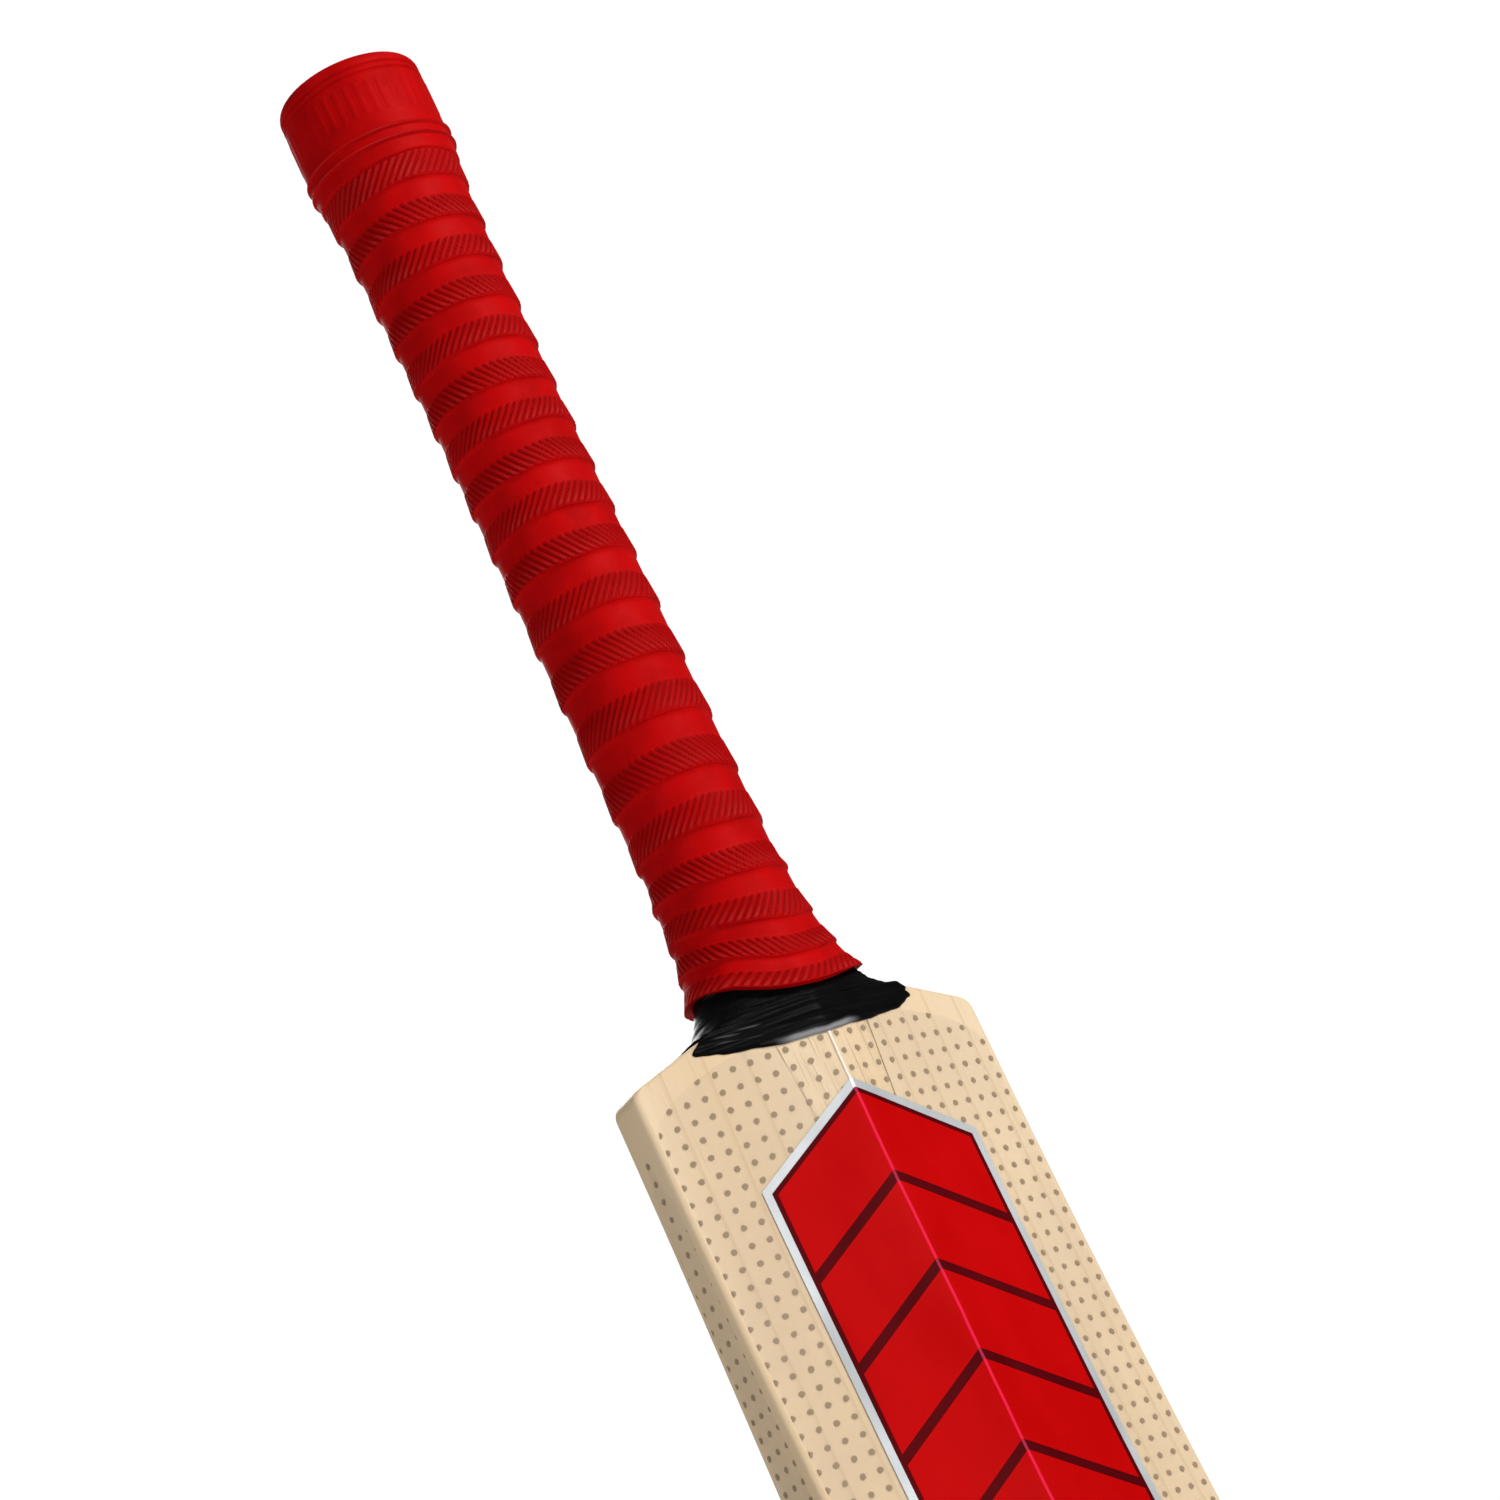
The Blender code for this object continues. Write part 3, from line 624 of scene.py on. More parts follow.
def make_film(name, dotted, across_axis=0):
    """Clear protective sheet, with a printed grid of dots where the real one has it, and on the back a
    painted highlight line down the spine's crest.
    """
    surface = Surface(name, 0.22, Specular_IOR_Level=0.6)
    places = surface.split()
    cloud = surface.noise((45, 45, 30), detail=3)
    haze = surface.range(cloud, 0.3, 0.7, 0.03, 0.08)
    if dotted:
        dots = dot_mask(surface, places[across_axis], places[2])
        # painted highlight: a light line down the spine's crest, left out on the edge sheets
        crest_highlight = surface.times(crest_highlight_mask(surface), 0.0 if across_axis else 0.75)
        colour = surface.blend(dots, (0.62, 0.55, 0.45), (0.33, 0.235, 0.14))
        surface.set(Base_Color=surface.blend(crest_highlight, colour, (0.95, 0.86, 0.72)))
        alpha = surface.math("MAXIMUM", haze, surface.times(dots, 0.78))
        surface.set(Alpha=surface.math("MAXIMUM", alpha, crest_highlight))
    else:
        weave = surface.noise((700, 700, 700), detail=2)
        surface.set(Base_Color=surface.blend(weave, (0.50, 0.46, 0.40), (0.62, 0.57, 0.50)))
        surface.set(Alpha=haze)
    surface.set(Roughness=surface.range(cloud, 0.3, 0.7, 0.16, 0.30))
    surface.bump(cloud, 0.0004, 0.3)
    return surface.material


def make_print(name, dark, light, highlight_colour, metallic, roughness):
    """Printed or foiled sticker surface with slight unevenness, fine speckle and a painted highlight line on
    the spine.
    """
    surface = Surface(name, roughness, Metallic=metallic, Specular_IOR_Level=0.03)
    cloud = surface.noise((35, 35, 18), detail=3)
    speckle = surface.noise((2200, 2200, 2200), detail=1)
    colour = surface.blend(surface.range(cloud, 0.3, 0.7), dark, light)
    colour = surface.blend(surface.range(speckle, 0.45, 0.8, 0.0, 0.25), colour, dark)
    # painted highlight: a light line down the spine's crest
    surface.set(Base_Color=surface.blend(crest_highlight_mask(surface), colour, highlight_colour))
    surface.set(Roughness=surface.range(cloud, 0.3, 0.7, roughness * 0.8, roughness * 1.25))
    surface.bump(speckle, 0.00001, 0.4)
    return surface.material


def make_prints():
    """The sticker's silver border, dark line and red field."""
    # the last colour of each is the painted highlight down the spine's crest
    silver = make_print("fine_silver", (0.40, 0.42, 0.43), (0.60, 0.62, 0.63), (0.9, 0.9, 0.9), 0.25, 0.40)
    dark, light = (0.060, 0.0002, 0.0015), (0.085, 0.0004, 0.002)
    line = make_print("fine_line", dark, light, (0.35, 0.02, 0.05), 0.0, 0.45)
    dark, light = (0.39, 0.0002, 0.0004), (0.45, 0.0002, 0.0005)
    red = make_print("fine_red", dark, light, (0.68, 0.012, 0.050), 0.0, 0.42)
    return silver, line, red


def make_soft_rubber(name, dark, light):
    """Matt moulded rubber with a fine grain and scuffs."""
    surface = Surface(name, 0.7)
    grain = surface.noise((1800, 1800, 1800), detail=3)
    scuff = surface.range(surface.noise((140, 140, 420), detail=4), 0.55, 0.75)
    colour = surface.blend(grain, dark, light)
    surface.set(Base_Color=surface.blend(surface.times(scuff, 0.4), colour, (0.16, 0.15, 0.14)))
    surface.set(Roughness=surface.range(grain, 0.3, 0.7, 0.62, 0.82))
    surface.bump(grain, 0.00005, 0.7)
    return surface.material


TWINE_PITCH = 0.0008


def make_twine():
    """Waxed twine in close turns round the handle."""
    surface = Surface("fine_twine", 0.8)
    x, y, z = surface.split()
    turn = surface.times(surface.math("ARCTAN2", y, x), TWINE_PITCH / (2 * math.pi))
    phase = surface.times(surface.plus(z, turn), 2 * math.pi / TWINE_PITCH)
    cord = surface.math("ABSOLUTE", surface.math("SINE", surface.times(phase, 0.5)))
    fibre = surface.noise((700, 700, 4000), detail=3)
    colour = surface.blend(cord, (0.28, 0.20, 0.11), (0.72, 0.62, 0.45))
    fuzz = surface.range(fibre, 0.4, 0.7, 0.0, 0.4)
    surface.set(Base_Color=surface.blend(fuzz, colour, (0.45, 0.36, 0.24)))
    surface.bump(cord, 0.0003)
    return surface.material


# ---------------------------------------------------------------- blade, toe guard and handle


def toe_inset(z):
    return TOE_ROUNDING * (1 - float(ease(z / (2 * TOE_ROUNDING))))


def blade_section(z):
    inset = toe_inset(z)
    half = half_width(z) - inset
    return slab_section(z, half, EDGE_RADIUS, -inset)


def blade_heights(start):
    """Heights of the blade's sections: close together at the toe's corners and the shoulders."""
    corner_z, slope_z = shoulder_corner()[1:]
    toe = mix(start, TOE_CORNER_RADIUS, 1 - np.cos(np.linspace(0, np.pi / 2, 12)))
    body = np.linspace(TOE_CORNER_RADIUS, corner_z, 110)[1:]
    corner = mix(corner_z, slope_z, np.sin(np.linspace(0, np.pi / 2, 14)))[1:]
    shoulder = np.linspace(slope_z, BLADE_LENGTH, 16)[1:]
    return np.concatenate([toe, body, corner, shoulder])


def root_heights(top, steps):
    """Heights above the shoulders, evenly spaced along the curve that turns up into the handle."""
    return mix(BLADE_LENGTH, top, (np.arange(1, steps + 1) / steps) ** 2)


def build_blade(willow):
    start = TOE_GUARD_TOP + 0.0001
    lower = blade_heights(start)
    upper = root_heights(HORN_TOP, 12)
    count = len(blade_section(BLADE_LENGTH))
    sections = [blade_section(z) for z in lower]
    for z in upper:
        slab = slab_section(z, half_width(z), EDGE_RADIUS)
        oval = oval_section(half_width(z), handle_radius(z) + BINDING_OVER_CANE, count)
        sections.append(mix(slab, oval, root_share(z)))
    rows = level_rings(sections, np.concatenate([lower, upper]))
    blade = lattice("blade_willow", rows, willow, closed=False)
    tip, top = BLADE_LENGTH - SPLICE_LENGTH - GLUE_LINE, HORN_TOP + 0.01
    right = [
        (SPLICE_TIP_HALF_WIDTH + GLUE_LINE, tip),
        (SPLICE_HALF_WIDTH + GLUE_LINE, BLADE_LENGTH),
        (SPLICE_HALF_WIDTH + GLUE_LINE, top),
    ]
    slot = right + [(-x, z) for x, z in reversed(right)]
    cut(blade, prism("slot", slot, -CUT_REACH, CUT_REACH, "xz"), "DIFFERENCE")
    place(blade, "willow", "blade")


def build_toe_guard(rubber):
    heights = np.concatenate([mix(0.0, 2 * TOE_ROUNDING, np.linspace(0, 0.6, 8) ** 2), [TOE_GUARD_TOP]])
    rows = level_rings([blade_section(z) for z in heights], heights)
    guard = lattice("toe_guard_rubber", rows, rubber, closed=False)
    place(guard, "toe_rubber", "toe_guard")


def core_section(z, count):
    """Section of the laminated handle: the wedge of the splice below, a circle above."""
    radius = handle_radius(z)
    wedge = even_section(slab_section(z, splice_half_width(z), 0.0008, -0.00005), count)
    circle = oval_section(radius, radius, count)
    return mix(wedge, circle, root_share(z))


def build_core():
    tip = BLADE_LENGTH - SPLICE_LENGTH
    heights = np.concatenate([
        np.linspace(tip, BLADE_LENGTH, 40),
        np.linspace(BLADE_LENGTH, FILLET_TOP, 16)[1:],
        np.linspace(FILLET_TOP, HANDLE_END - 0.0008, 40)[1:],
    ])
    count = 160
    sections = [core_section(z, count) for z in heights]
    rim = np.append(heights, HANDLE_END)
    sections.append(sections[-1] * 0.965)
    return lattice("core", level_rings(sections, rim), None, closed=False)


def cell_range(index, count, pitch, clearance):
    """Limits of one cell in a row that is centred on the axis; the end cells are open outwards."""
    low = (index - count / 2) * pitch + clearance
    high = (index + 1 - count / 2) * pitch - clearance
    return (-CUT_REACH if index == 0 else low), (CUT_REACH if index == count - 1 else high)


def carve(name, core, x_range, y_range, surface):
    """The part of the handle's core inside one cell of its lamination."""
    piece = bpy.data.objects.new(name, core.data.copy())
    bpy.context.scene.collection.objects.link(piece)
    (left, right), (low, high) = x_range, y_range
    corners = [(left, low), (left, high), (right, high), (right, low)]
    cut(piece, prism("cell", corners, 0.0, OVERALL_LENGTH, "xy"), "INTERSECT")
    piece.data.materials.clear()
    piece.data.materials.append(surface)
    return piece


def build_handle(cane, rubber):
    core = build_core()
    layer_pitch = 2 * HANDLE_RADIUS / CANE_LAYERS
    strip_pitch = 2 * HANDLE_RADIUS / CANE_STRIPS
    for layer in range(CANE_LAYERS):
        y_range = cell_range(layer, CANE_LAYERS, layer_pitch, SPRING_THICKNESS / 2 + GLUE_LINE / 2)
        for strip in range(CANE_STRIPS):
            x_range = cell_range(strip, CANE_STRIPS, strip_pitch, GLUE_LINE / 2)
            number = f"{layer + 1}_{strip + 1}"
            slat = carve(f"cane_{number}", core, x_range, y_range, cane)
            place(slat, "cane", f"cane_slat_{number}")
    for spring in range(1, CANE_LAYERS):
        y = (spring - CANE_LAYERS / 2) * layer_pitch
        y_range = (y - SPRING_THICKNESS / 2, y + SPRING_THICKNESS / 2)
        strip = carve(f"spring_{spring}", core, (-CUT_REACH, CUT_REACH), y_range, rubber)
        place(strip, "spring_rubber", f"rubber_spring_{spring}")
    bpy.data.objects.remove(core)


# ---------------------------------------------------------------- grip

GRIP_COUNT = GROOVES * 8
SMOOTH_SHARE = 0.45
LAST_RING = 0.46
COLLAR_RINGS = (0.0240, 0.0274)
COLLAR_RING_HALF = 0.0007
COLLAR_RING_RISE = 0.0009
COLLAR_GROOVES = (0.0045, 0.0064)
COLLAR_GROOVE_HALF = 0.0007
COLLAR_GROOVE_DEPTH = 0.0005
TOP_ROUNDING = 0.0035
BAR_COUNT = 40
BAR_TOP = 0.0085
BAR_FOOT = 0.0190
BAR_RISE = 0.00012
GRIP_LIFT = 0.0003  # space between the binding or the tape and the sleeve
TAPE_ROOM = 0.0007  # extra width where the sleeve lies over the tape
STEP_HALF = 0.0004  # half the height over which sections crowd round a turn of the profile
MOUTH_DEPTH = 0.0022
MOUTH_EDGES = ((0.0003, MOUTH_DEPTH), (0.0, 0.0018), (0.0, 0.0005), (0.0006, 0.0))  # wider by, below the top
FOOT_HIGH_AT = 0.847  # share of a turn where the foot is highest
FOOT_TILT = 0.0060
FOOT_WAVE = 0.0021
FOOT_FADE_TOP = 0.625
FOOT_FADE_HEIGHT = 0.055


def ring_heights():
    """Height of the lower edge of each raised ring, from the collar down, with the grip's foot last."""
    heights = []
    z = OVERALL_LENGTH - RING_FIRST_BELOW_TOP
    while z > FILLET_TOP - ROOT_FILLET_HEIGHT / 2:
        heights.append(z)
        offset = (len(heights) - RING_STRETCH_AT) / RING_STRETCH_SPREAD
        z -= RING_PITCH + RING_STRETCH * math.exp(-offset * offset)
    return heights + [mix(GRIP_FOOT, heights[-1], LAST_RING), GRIP_FOOT]


def grip_heights(rings):
    """Heights of the grip's sections from its top to its foot, close together where its profile turns."""
    heights = list(OVERALL_LENGTH - TOP_ROUNDING * (1 - np.cos(np.linspace(0, np.pi / 2, 9))))
    heights += list(np.arange(heights[-1] - 0.0003, COLLAR_FOOT, -0.0003))
    heights += list(np.linspace(COLLAR_FOOT, rings[0] + 0.0005, 14))
    for start, end in zip(rings, rings[1:]):
        smooth_end = mix(start, end, SMOOTH_SHARE)
        heights += list(np.linspace(start + STEP_HALF, start - STEP_HALF, 7))
        heights += list(np.linspace(start - STEP_HALF, smooth_end + STEP_HALF, 6)[1:])
        heights += list(np.linspace(smooth_end + STEP_HALF, smooth_end - STEP_HALF, 5)[1:])
        heights += list(np.linspace(smooth_end - STEP_HALF, end + STEP_HALF, 14)[1:-1])
    heights += list(np.linspace(rings[-1] + STEP_HALF, rings[-1], 5))
    return np.array(heights)


def hump(z, centre, half):
    """Round hump of height 1."""
    share = np.clip(np.abs(z - centre) / half, 0.0, 1.0)
    return np.cos(share * np.pi / 2) ** 2


def collar_ridge(below_top):
    return sum(hump(below_top, ring, COLLAR_RING_HALF) for ring in COLLAR_RINGS)


def collar_stand(z):
    """How far the collar's profile stands out over the grip's wall."""
    below_top = OVERALL_LENGTH - z
    stand = np.full_like(z, GRIP_COLLAR_EXTRA)
    stand += COLLAR_RING_RISE * collar_ridge(below_top)
    for groove in COLLAR_GROOVES:
        stand -= COLLAR_GROOVE_DEPTH * hump(below_top, groove, COLLAR_GROOVE_HALF)
    corner = np.clip(1 - below_top / TOP_ROUNDING, 0.0, 1.0)
    return stand - TOP_ROUNDING * (1 - np.sqrt(1 - corner**2))


def ring_profile(z, rings):
    """How far each height stands out over the wall, and how deep the grooves are there (0 to 1)."""
    starts = [COLLAR_FOOT] + rings[:-1]
    stand, hatch, row = np.zeros_like(z), np.zeros_like(z), np.zeros_like(z)
    for number, (start, end) in enumerate(zip(starts, rings)):
        inside = (z <= start) & (z >= end - 1e-9)
        share = (start - z) / (start - end)
        smooth = 0.0 if number == 0 else SMOOTH_SHARE
        low = RING_STEP * (0.75 if number == 0 else 0.22)
        climb = np.clip((share - smooth) / (1 - smooth), 0.0, 1.0)
        lip = 1 - 0.25 * ease((share - 0.96) / 0.04)
        rise = (low + (RING_STEP - low) * climb) * ease((share - smooth) / 0.04) * lip
        fade = ease((share - smooth - 0.02) / 0.06) * (1 - 0.45 * ease((share - 0.93) / 0.07))
        step = 1 - ease((start - z) / 0.0006) if number else 0.0
        stand = np.where(inside, np.maximum(rise, RING_STEP * 0.75 * step), stand)
        hatch = np.where(inside, fade, hatch)
        row = np.where(inside, number, row)
    return stand, hatch, row


def grip_relief(z, around, rings):
    """Stand-out of every point of the grip, and its relief from 0 in a groove to 1 on an edge."""
    stand, hatch, row = ring_profile(z, rings)
    collar = ease((z - COLLAR_FOOT + STEP_HALF) / (2 * STEP_HALF))
    stand = mix(stand, collar_stand(z), collar)
    hatch = hatch * (1 - collar)
    side = np.where(row % 2 == 0, 1.0, -1.0)
    radius = handle_radius(0.7) + BINDING_OVER_CANE + GRIP_WALL
    turns = side * z * math.tan(GROOVE_LEAN) / (2 * math.pi * radius)
    wave = np.cos(2 * np.pi * GROOVES * (around + turns))
    groove = ease((wave - 0.05) / 0.75) * hatch
    below_top = OVERALL_LENGTH - z
    bar_zone = ease((below_top - BAR_TOP) / 0.0006) * ease((BAR_FOOT - below_top) / 0.0006)
    bars = ease((np.cos(2 * np.pi * BAR_COUNT * around) - 0.1) / 0.35) * bar_zone
    stand = stand - GROOVE_DEPTH * groove + BAR_RISE * bars
    edge = np.clip(stand / RING_STEP, 0.0, 1.0)
    # the relief drives painted shade in the grooves and dust with a painted highlight on raised edges
    relief = 0.55 + 0.45 * edge * hatch - 0.6 * groove + 0.1 * bars + 0.45 * collar_ridge(below_top)
    return stand, np.clip(relief, 0.0, 1.0), hatch


def foot_rise(level, around):
    """How far the stretched foot of the grip sits above its level: low at the spine, high at the left."""
    towards_left = (1 + np.cos(2 * np.pi * (around - FOOT_HIGH_AT))) / 2
    rise = FOOT_TILT * towards_left**2 - FOOT_WAVE * np.cos(4 * np.pi * around)
    return rise * ease((FOOT_FADE_TOP - level) / FOOT_FADE_HEIGHT)


def sleeve_room(z):
    """Distance of the sleeve's inside from the bat's outline: wider where it lies over the tape."""
    return GRIP_LIFT + TAPE_ROOM * (1 - ease((z - TAPE_TOP + 0.002) / 0.004))


def build_grip(rubber):
    rings = ring_heights()
    below = [GRIP_FOOT - 0.004]
    wrap = Wrap(np.concatenate([below, np.linspace(GRIP_FOOT - 0.003, OVERALL_LENGTH, 700)]), GRIP_COUNT)
    level = grip_heights(rings)[:, None]
    around = (np.arange(GRIP_COUNT) / GRIP_COUNT)[None, :]
    waves = ((2, 0, 1.1, 0.00022), (3, 23, 0.4, 0.00018), (5, 31, 2.0, 0.00012), (9, 57, 0.7, 0.00006))
    settle = 1 - ease((level - OVERALL_LENGTH + 0.035) / 0.01)
    z = level + foot_rise(level, around) + settle * ripple(around, level, waves)
    flat = np.broadcast_to(level, z.shape)
    stand, relief, hatch = grip_relief(flat, around, rings)
    outer = wrap.at(z, sleeve_room(flat) + GRIP_WALL + stand, tilt=False)
    inner_levels = np.linspace(GRIP_FOOT, OVERALL_LENGTH - MOUTH_DEPTH, 40)[:, None]
    inner_z = inner_levels + foot_rise(inner_levels, around)
    inner = wrap.at(inner_z, sleeve_room(inner_z), tilt=False)
    radii = [GRIP_MOUTH_RADIUS + wider for wider, depth in MOUTH_EDGES]
    mouth_heights = [OVERALL_LENGTH - depth for wider, depth in MOUTH_EDGES]
    mouth = level_rings([oval_section(radius, radius, GRIP_COUNT) for radius in radii], mouth_heights)
    rows = np.concatenate([outer, inner, mouth])
    grip = lattice("grip_sleeve", rows, rubber, closed=True, angle=60)
    hidden = np.zeros((len(inner) + len(mouth), GRIP_COUNT))
    set_values(grip, "relief", np.concatenate([relief, hidden + 0.55]))
    set_values(grip, "band", np.concatenate([hatch, hidden]))
    place(grip, "grip_rubber", "grip")


# ---------------------------------------------------------------- tape

TAPE_COUNT = 480
TAPE_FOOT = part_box("shoulder_tape")[0].z
TAPE_FOOT_RISE = 0.0066
TAPE_LIFT = 0.0001
TAPE_THICKNESS = 0.00062
TAPE_EDGE_THICKNESS = 0.0003
TURN_STEP = 0.00016
TURN_PITCH = 0.0062


def tape_foot(around, x):
    """Height of the tape's torn lower edge, lowest at the spine and the middle of the face."""
    across = np.clip(np.abs(x) / ROOT_HALF_WIDTH, 0.0, 1.0)
    foot = TAPE_FOOT + TAPE_FOOT_RISE * across**1.8
    foot = mix(foot, BLADE_LENGTH - 0.0007, ease((across - 0.93) / 0.06))
    torn = ((7, 0, 0.3, 0.00020), (17, 0, 1.9, 0.00014), (41, 0, 0.8, 0.00005))
    notch = 0.0011 * ease((x - 0.0262) / 0.0006) * (1 - ease((x - 0.0290) / 0.0030))
    return foot + ripple(around, 0.0, torn) + notch


def build_tape(vinyl):
    near = root_heights(BLADE_LENGTH + 0.012, 40)
    far = np.linspace(BLADE_LENGTH + 0.012, TAPE_TOP, 30)[1:]
    below = np.linspace(TAPE_FOOT - 0.002, BLADE_LENGTH, 60)
    wrap = Wrap(np.concatenate([below, near, far]), TAPE_COUNT)
    around = (np.arange(TAPE_COUNT) / TAPE_COUNT)[None, :]
    edge_x = wrap.points[len(below) - 1, :, 0]
    foot = tape_foot(around, edge_x[None, :])
    lower_rows = mix(foot, BLADE_LENGTH, (np.arange(24) / 24)[:, None])
    upper = np.concatenate([[BLADE_LENGTH + 1e-5], near, far[:12]])[:, None]
    z = np.concatenate([lower_rows, np.broadcast_to(upper, (len(upper), TAPE_COUNT))])
    slant = z + 0.10 * edge_x[None, :]
    winding = np.mod(slant / TURN_PITCH + 0.35, 1.0)
    layer = TURN_STEP * ease(winding / 0.08) * (1 - 0.5 * winding)
    waves = (
        (1, 410, 0.2, 0.00005),
        (2, 730, 1.3, 0.00004),
        (-3, 980, 2.2, 0.00003),
        (6, 260, 0.9, 0.00005),
        (11, 120, 2.9, 0.00003),
    )
    grow = TAPE_THICKNESS + layer + ripple(around, z, waves)
    grow[0] = TAPE_EDGE_THICKNESS
    outer = wrap.at(z, grow)
    inner = wrap.at(z[::-1], np.full_like(z, TAPE_LIFT))
    tape = lattice("shoulder_tape_vinyl", np.concatenate([outer, inner]), vinyl, closed=True, angle=50)
    # painted reflection: grey along the lower lip of the tape by the spine
    near_spine = (1 - ease((np.abs(edge_x + 0.001) - 0.0045) / 0.0050)) * (wrap.points[0, :, 1] < 0)
    painted_lip_reflection = (1 - ease((z - foot - 0.0008) / 0.0008)) * near_spine[None, :]
    set_values(tape, "painted_lip_reflection", np.concatenate([painted_lip_reflection, painted_lip_reflection[::-1]]))
    place(tape, "black_tape", "shoulder_tape")


# ---------------------------------------------------------------- films and stickers

SHEET_PITCH = 0.0018
FILM_LIFT = 0.0001
FILM_TOP = 0.00026
FILM_CORNER_RADIUS = 0.010
OVER_FILM = 0.00030
STICKER_POINT = 0.020
FOIL_BORDER = 0.0022
INNER_LINE = 0.0013
BAND_GAP = 0.0030
PRINT_LAYER = 0.00006
EDGE_FILM_POINT = 0.016
EDGE_FILM_SHARE = 0.60  # of the edge's thickness
EDGE_BAND = (0.400, 0.437)  # from and to this height
EDGE_BAND_SHARE = 0.38
EDGE_BAND_TOP = 0.00034


def slab_sheet(name, outline, surface_y, side, low, high, surface):
    """Thin sheet over the blade's back (side -1) or face (side 1), trimmed to an outline in x and z."""
    outline = np.array(outline)
    margin = 0.002
    x_low, z_low = outline.min(0) - margin
    x_high, z_high = outline.max(0) + margin
    columns = int((x_high - x_low) / SHEET_PITCH) + 1
    rows = int((z_high - z_low) / (2.2 * SHEET_PITCH)) + 1
    x = np.linspace(x_low, x_high, columns)
    layers = []
    for z in np.linspace(z_low, z_high, rows):
        y = np.array([surface_y(value, min(z, BLADE_LENGTH)) for value in x])
        near = np.column_stack([x, y + side * low, np.full(columns, z)])
        far = np.column_stack([x, y + side * high, np.full(columns, z)])
        layers.append(np.vstack([near, far[::-1]]))
    sheet = lattice(name, layers, None, closed=False)
    reach = (0.0, CUT_REACH) if side > 0 else (-CUT_REACH, 0.0)
    cut(sheet, prism("trim", outline, *reach, "xz"), "INTERSECT")
    sheet.data.materials.clear()
    sheet.data.materials.append(surface)
    return sheet


def domed_outline(half, foot, top, dome):
    """Outline with rounded lower corners and an elliptic top."""
    low = np.linspace(-math.pi / 2, 0, 10)[1:]
    high = np.linspace(0, math.pi / 2, 40)
    corner = FILM_CORNER_RADIUS
    right = [(half - corner * (1 - math.cos(a)), foot + corner * (1 + math.sin(a))) for a in low]
    right += [(half * math.cos(a), top - dome * (1 - math.sin(a))) for a in high[:-1]]
    return right + [(0.0, top)] + [(-x, z) for x, z in reversed(right)]


def inset_outline(outline, distance):
    """Outline moved inwards by a distance, with mitred corners."""
    points = np.array(outline)
    area = 0.5 * np.sum(points[:, 0] * np.roll(points[:, 1], -1) - np.roll(points[:, 0], -1) * points[:, 1])
    moved = []
    for index in range(len(points)):
        before = points[index] - points[index - 1]
        after = points[(index + 1) % len(points)] - points[index]
        before, after = before / np.linalg.norm(before), after / np.linalg.norm(after)
        inward = [np.array([-edge[1], edge[0]]) * math.copysign(1, area) for edge in (before, after)]
        mitre = (inward[0] + inward[1]) / (1 + float(inward[0] @ inward[1]))
        moved.append(points[index] + mitre * distance)
    return moved


def mirrored(right):
    """Closed outline from its right half, whose first and last points lie on the middle line."""
    return list(right) + [(-x, z) for x, z in reversed(right[1:-1])]


def banner(low, high):
    """Banner that fills a box, with a pointed top and a matching notch at its foot."""
    half = high.x
    right = [(0.0, high.z), (half, high.z - STICKER_POINT), (half, low.z), (0.0, low.z + STICKER_POINT)]
    return mirrored(right)


def split_banner(outline, count):
    """Equal bands that lie one below the other in a banner, each with the banner's own slope."""
    tip, shoulder, foot = outline[0][1], outline[1][1], outline[2][1]
    half = outline[1][0]
    side = (shoulder - foot - (count - 1) * BAND_GAP) / count
    bands = []
    for number in range(count):
        down = number * (side + BAND_GAP)
        above = [(0.0, tip - down), (half, shoulder - down)]
        below = [(half, shoulder - down - side), (0.0, tip - down - side)]
        bands.append(mirrored(above + below))
    return bands


def build_sticker(name, node, count, surface_y, side, base, prints):
    """Foil banner with a dark field and equal plain bands on it, each a thin layer on the one below."""
    outline = banner(*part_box(node))
    bands = split_banner(inset_outline(outline, FOIL_BORDER + INNER_LINE), count)
    layers = [("foil", outline, 0), ("line", inset_outline(outline, FOIL_BORDER), 1)]
    layers += [(f"band_{number}", band, 2) for number, band in enumerate(bands, 1)]
    for part, shape, layer in layers:
        low = base + layer * PRINT_LAYER
        sheet = slab_sheet(f"{name}_{part}", shape, surface_y, side, low, low + PRINT_LAYER, prints[layer])
        place(sheet, "sticker_foil", *([node] if layer == 0 else []))


def build_back(film, prints):
    half = HALF - EDGE_RADIUS
    outline = domed_outline(half, 0.030, BLADE_LENGTH - 0.0048, 0.0165)
    sheet = slab_sheet("back_film_sheet", outline, back_y, -1, FILM_LIFT, FILM_TOP, film)
    place(sheet, "clear_film", "back_film")
    build_sticker("back_banner", "back_sticker_1", 5, back_y, -1, OVER_FILM, prints)
    build_sticker("back_band", "back_sticker_2", 3, back_y, -1, OVER_FILM, prints)


def build_face(film, prints):
    outline = domed_outline(HALF - 0.005, 0.012, 0.412, 0.016)
    sheet = slab_sheet("face_film_sheet", outline, front_y, 1, FILM_LIFT, FILM_TOP, film)
    place(sheet, "clear_film", "face_film")
    build_sticker("face_banner", "face_sticker", 3, front_y, 1, FILM_LIFT, prints)


def edge_outline(foot, top, point, share):
    """Strip along the side of the blade as (y, z), with a point at its upper end."""
    front, back = [], []
    for z in np.linspace(foot, top - point, 40):
        thickness = blade_value(z, 2)
        middle = blade_value(z, 1) - thickness / 2
        front.append((middle + share * thickness / 2, z))
        back.append((middle - share * thickness / 2, z))
    tip = (blade_value(top, 1) - blade_value(top, 2) / 2, top)
    return front + ([tip] if point else []) + back[::-1]


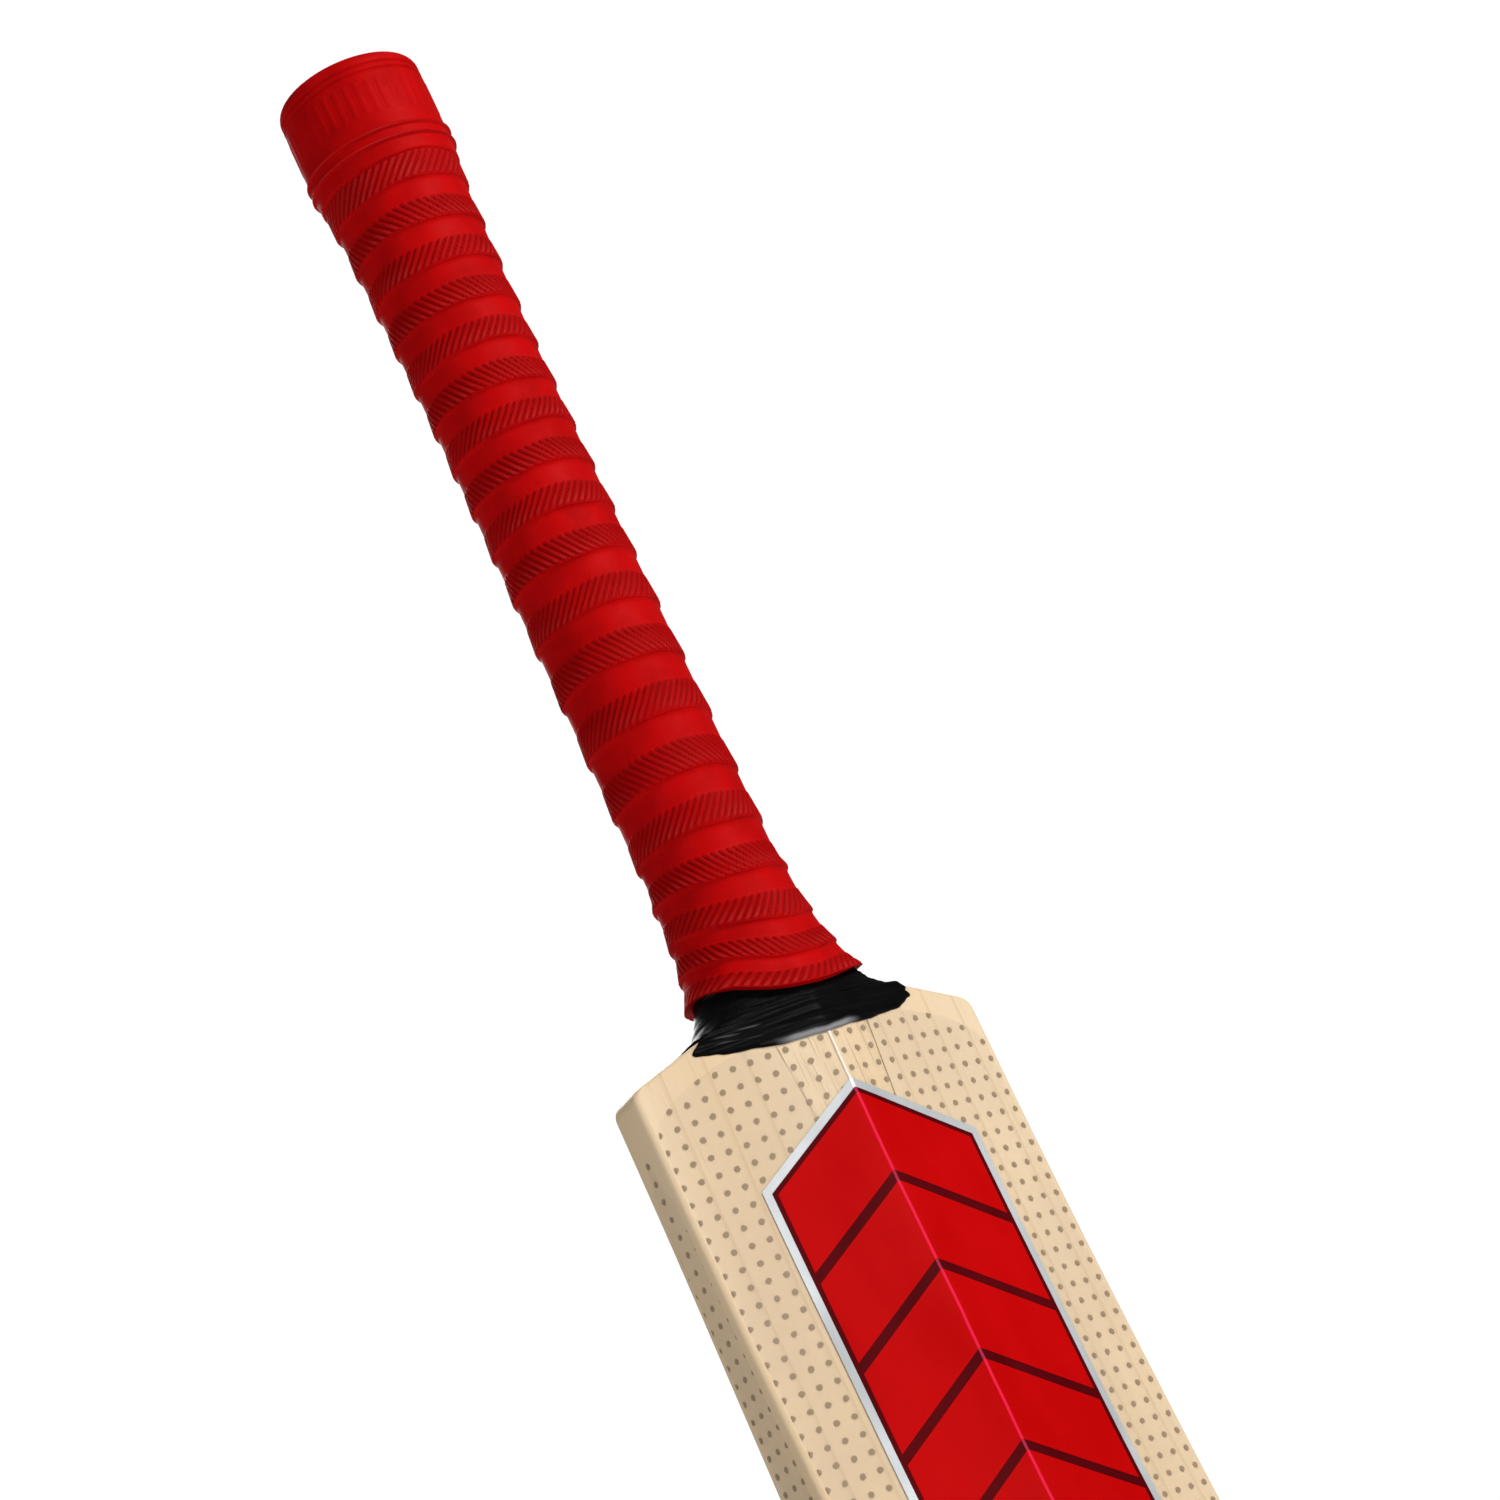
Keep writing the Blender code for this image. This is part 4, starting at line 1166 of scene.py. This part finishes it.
def build_edges(film, red):
    for name, side in (("left", -1), ("right", 1)):
        low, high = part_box(f"edge_film_{name}")
        outline = edge_outline(low.z, high.z, EDGE_FILM_POINT, EDGE_FILM_SHARE)
        near, far = side * (HALF + FILM_LIFT), side * (HALF + FILM_TOP)
        sheet = prism(f"edge_film_sheet_{name}", outline, near, far, "yz", film)
        place(sheet, "clear_film", f"edge_film_{name}")
        outline = edge_outline(*EDGE_BAND, 0.0, EDGE_BAND_SHARE)
        mark = prism(f"edge_band_{name}", outline, far, side * (HALF + EDGE_BAND_TOP), "yz", red)
        place(mark, "sticker_foil")


# ---------------------------------------------------------------- studio


CAMERA_AZIMUTH = math.radians(34.85)
CAMERA_ROLL = math.radians(25.39)
CAMERA_DISTANCE = 1.3
CAMERA_HEIGHT = 0.2423
CAMERA_LENS = 125.5
AIM_ACROSS = 0.0224
AIM_HEIGHT = 0.6318
FLOOR_REACH = 6.0
LIGHT_AIM = (0.0, 0.0, 0.55)


def build_camera():
    """Looks up at the back of the bat from its left, rolled as the bat leans in the picture."""
    sine, cosine = math.sin(CAMERA_AZIMUTH), math.cos(CAMERA_AZIMUTH)
    eye = Vector((-sine * CAMERA_DISTANCE, -cosine * CAMERA_DISTANCE, CAMERA_HEIGHT))
    aim = Vector((AIM_ACROSS * cosine, -AIM_ACROSS * sine, AIM_HEIGHT))
    forward = (aim - eye).normalized()
    right = forward.cross(Vector((0, 0, 1))).normalized()
    up = right.cross(forward)
    rolled_right = math.cos(CAMERA_ROLL) * right - math.sin(CAMERA_ROLL) * up
    rolled_up = math.sin(CAMERA_ROLL) * right + math.cos(CAMERA_ROLL) * up
    data = bpy.data.cameras.new("camera")
    data.lens = CAMERA_LENS
    data.sensor_width = 36
    camera = bpy.data.objects.new("camera", data)
    turn = Matrix((rolled_right, rolled_up, -forward)).transposed().to_4x4()
    camera.matrix_world = Matrix.Translation(eye) @ turn
    bpy.context.scene.collection.objects.link(camera)
    bpy.context.scene.camera = camera


def add_light(name, place_at, size, energy):
    data = bpy.data.lights.new(name, "AREA")
    data.shape = "DISK"
    data.size = size
    data.energy = energy
    light = bpy.data.objects.new(name, data)
    light.location = place_at
    direction = Vector(LIGHT_AIM) - Vector(place_at)
    light.rotation_euler = direction.to_track_quat("-Z", "Y").to_euler()
    bpy.context.scene.collection.objects.link(light)


def build_studio():
    """White surroundings, a pale floor and soft lights, the main one from the upper right of the back."""
    world = bpy.data.worlds.new("studio")
    world.use_nodes = True
    tree = world.node_tree
    background = tree.nodes["Background"]
    background.inputs["Color"].default_value = (1.0, 1.0, 1.0, 1.0)
    path = tree.nodes.new("ShaderNodeLightPath")
    strength = tree.nodes.new("ShaderNodeMapRange")
    strength.inputs["To Min"].default_value = 0.22
    strength.inputs["To Max"].default_value = 1.05
    tree.links.new(path.outputs["Is Camera Ray"], strength.inputs["Value"])
    tree.links.new(strength.outputs["Result"], background.inputs["Strength"])
    bpy.context.scene.world = world
    bpy.context.scene.view_settings.view_transform = "Standard"
    add_light("key", (0.9, -1.9, 1.9), 0.9, 62)
    add_light("fill", (-2.0, -1.2, 0.9), 1.2, 13)
    add_light("back", (0.9, 2.0, 1.6), 1.2, 24)
    paint = Surface("floor_paint", 0.8, Emission_Strength=0.32)
    paint.set(Base_Color=paint.blend(paint.noise((3, 3, 3)), (0.58, 0.58, 0.575), (0.62, 0.62, 0.615)))
    paint.set(Emission_Color=paint.blend(paint.noise((2, 2, 2)), (0.98, 0.98, 0.98), (1.0, 1.0, 1.0)))
    mesh = bpy.data.meshes.new("floor")
    corners = [(x * FLOOR_REACH, y * FLOOR_REACH, 0) for x, y in ((-1, -1), (1, -1), (1, 1), (-1, 1))]
    mesh.from_pydata(corners, [], [(0, 1, 2, 3)])
    mesh.materials.append(paint.material)
    floor = bpy.data.objects.new("floor", mesh)
    bpy.context.scene.collection.objects.link(floor)


def main():
    build_camera()
    build_studio()
    willow = make_willow()
    dotted = make_film("fine_back_film", True)
    side_dotted = make_film("fine_edge_film", True, across_axis=1)
    clear = make_film("fine_face_film", False)
    prints = make_prints()
    build_blade(willow)
    toe_rubber = make_soft_rubber("fine_toe_rubber", (0.018, 0.018, 0.018), (0.04, 0.04, 0.04))
    spring_rubber = make_soft_rubber("fine_spring_rubber", (0.012, 0.012, 0.012), (0.03, 0.03, 0.03))
    build_toe_guard(toe_rubber)
    build_handle(make_cane(), spring_rubber)
    build_grip(make_grip_rubber())
    build_tape(make_vinyl())
    build_back(dotted, prints)
    build_face(clear, prints)
    build_edges(side_dotted, prints[2])
    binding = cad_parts["twine_binding"]
    binding.data.materials.clear()
    binding.data.materials.append(make_twine())


main()
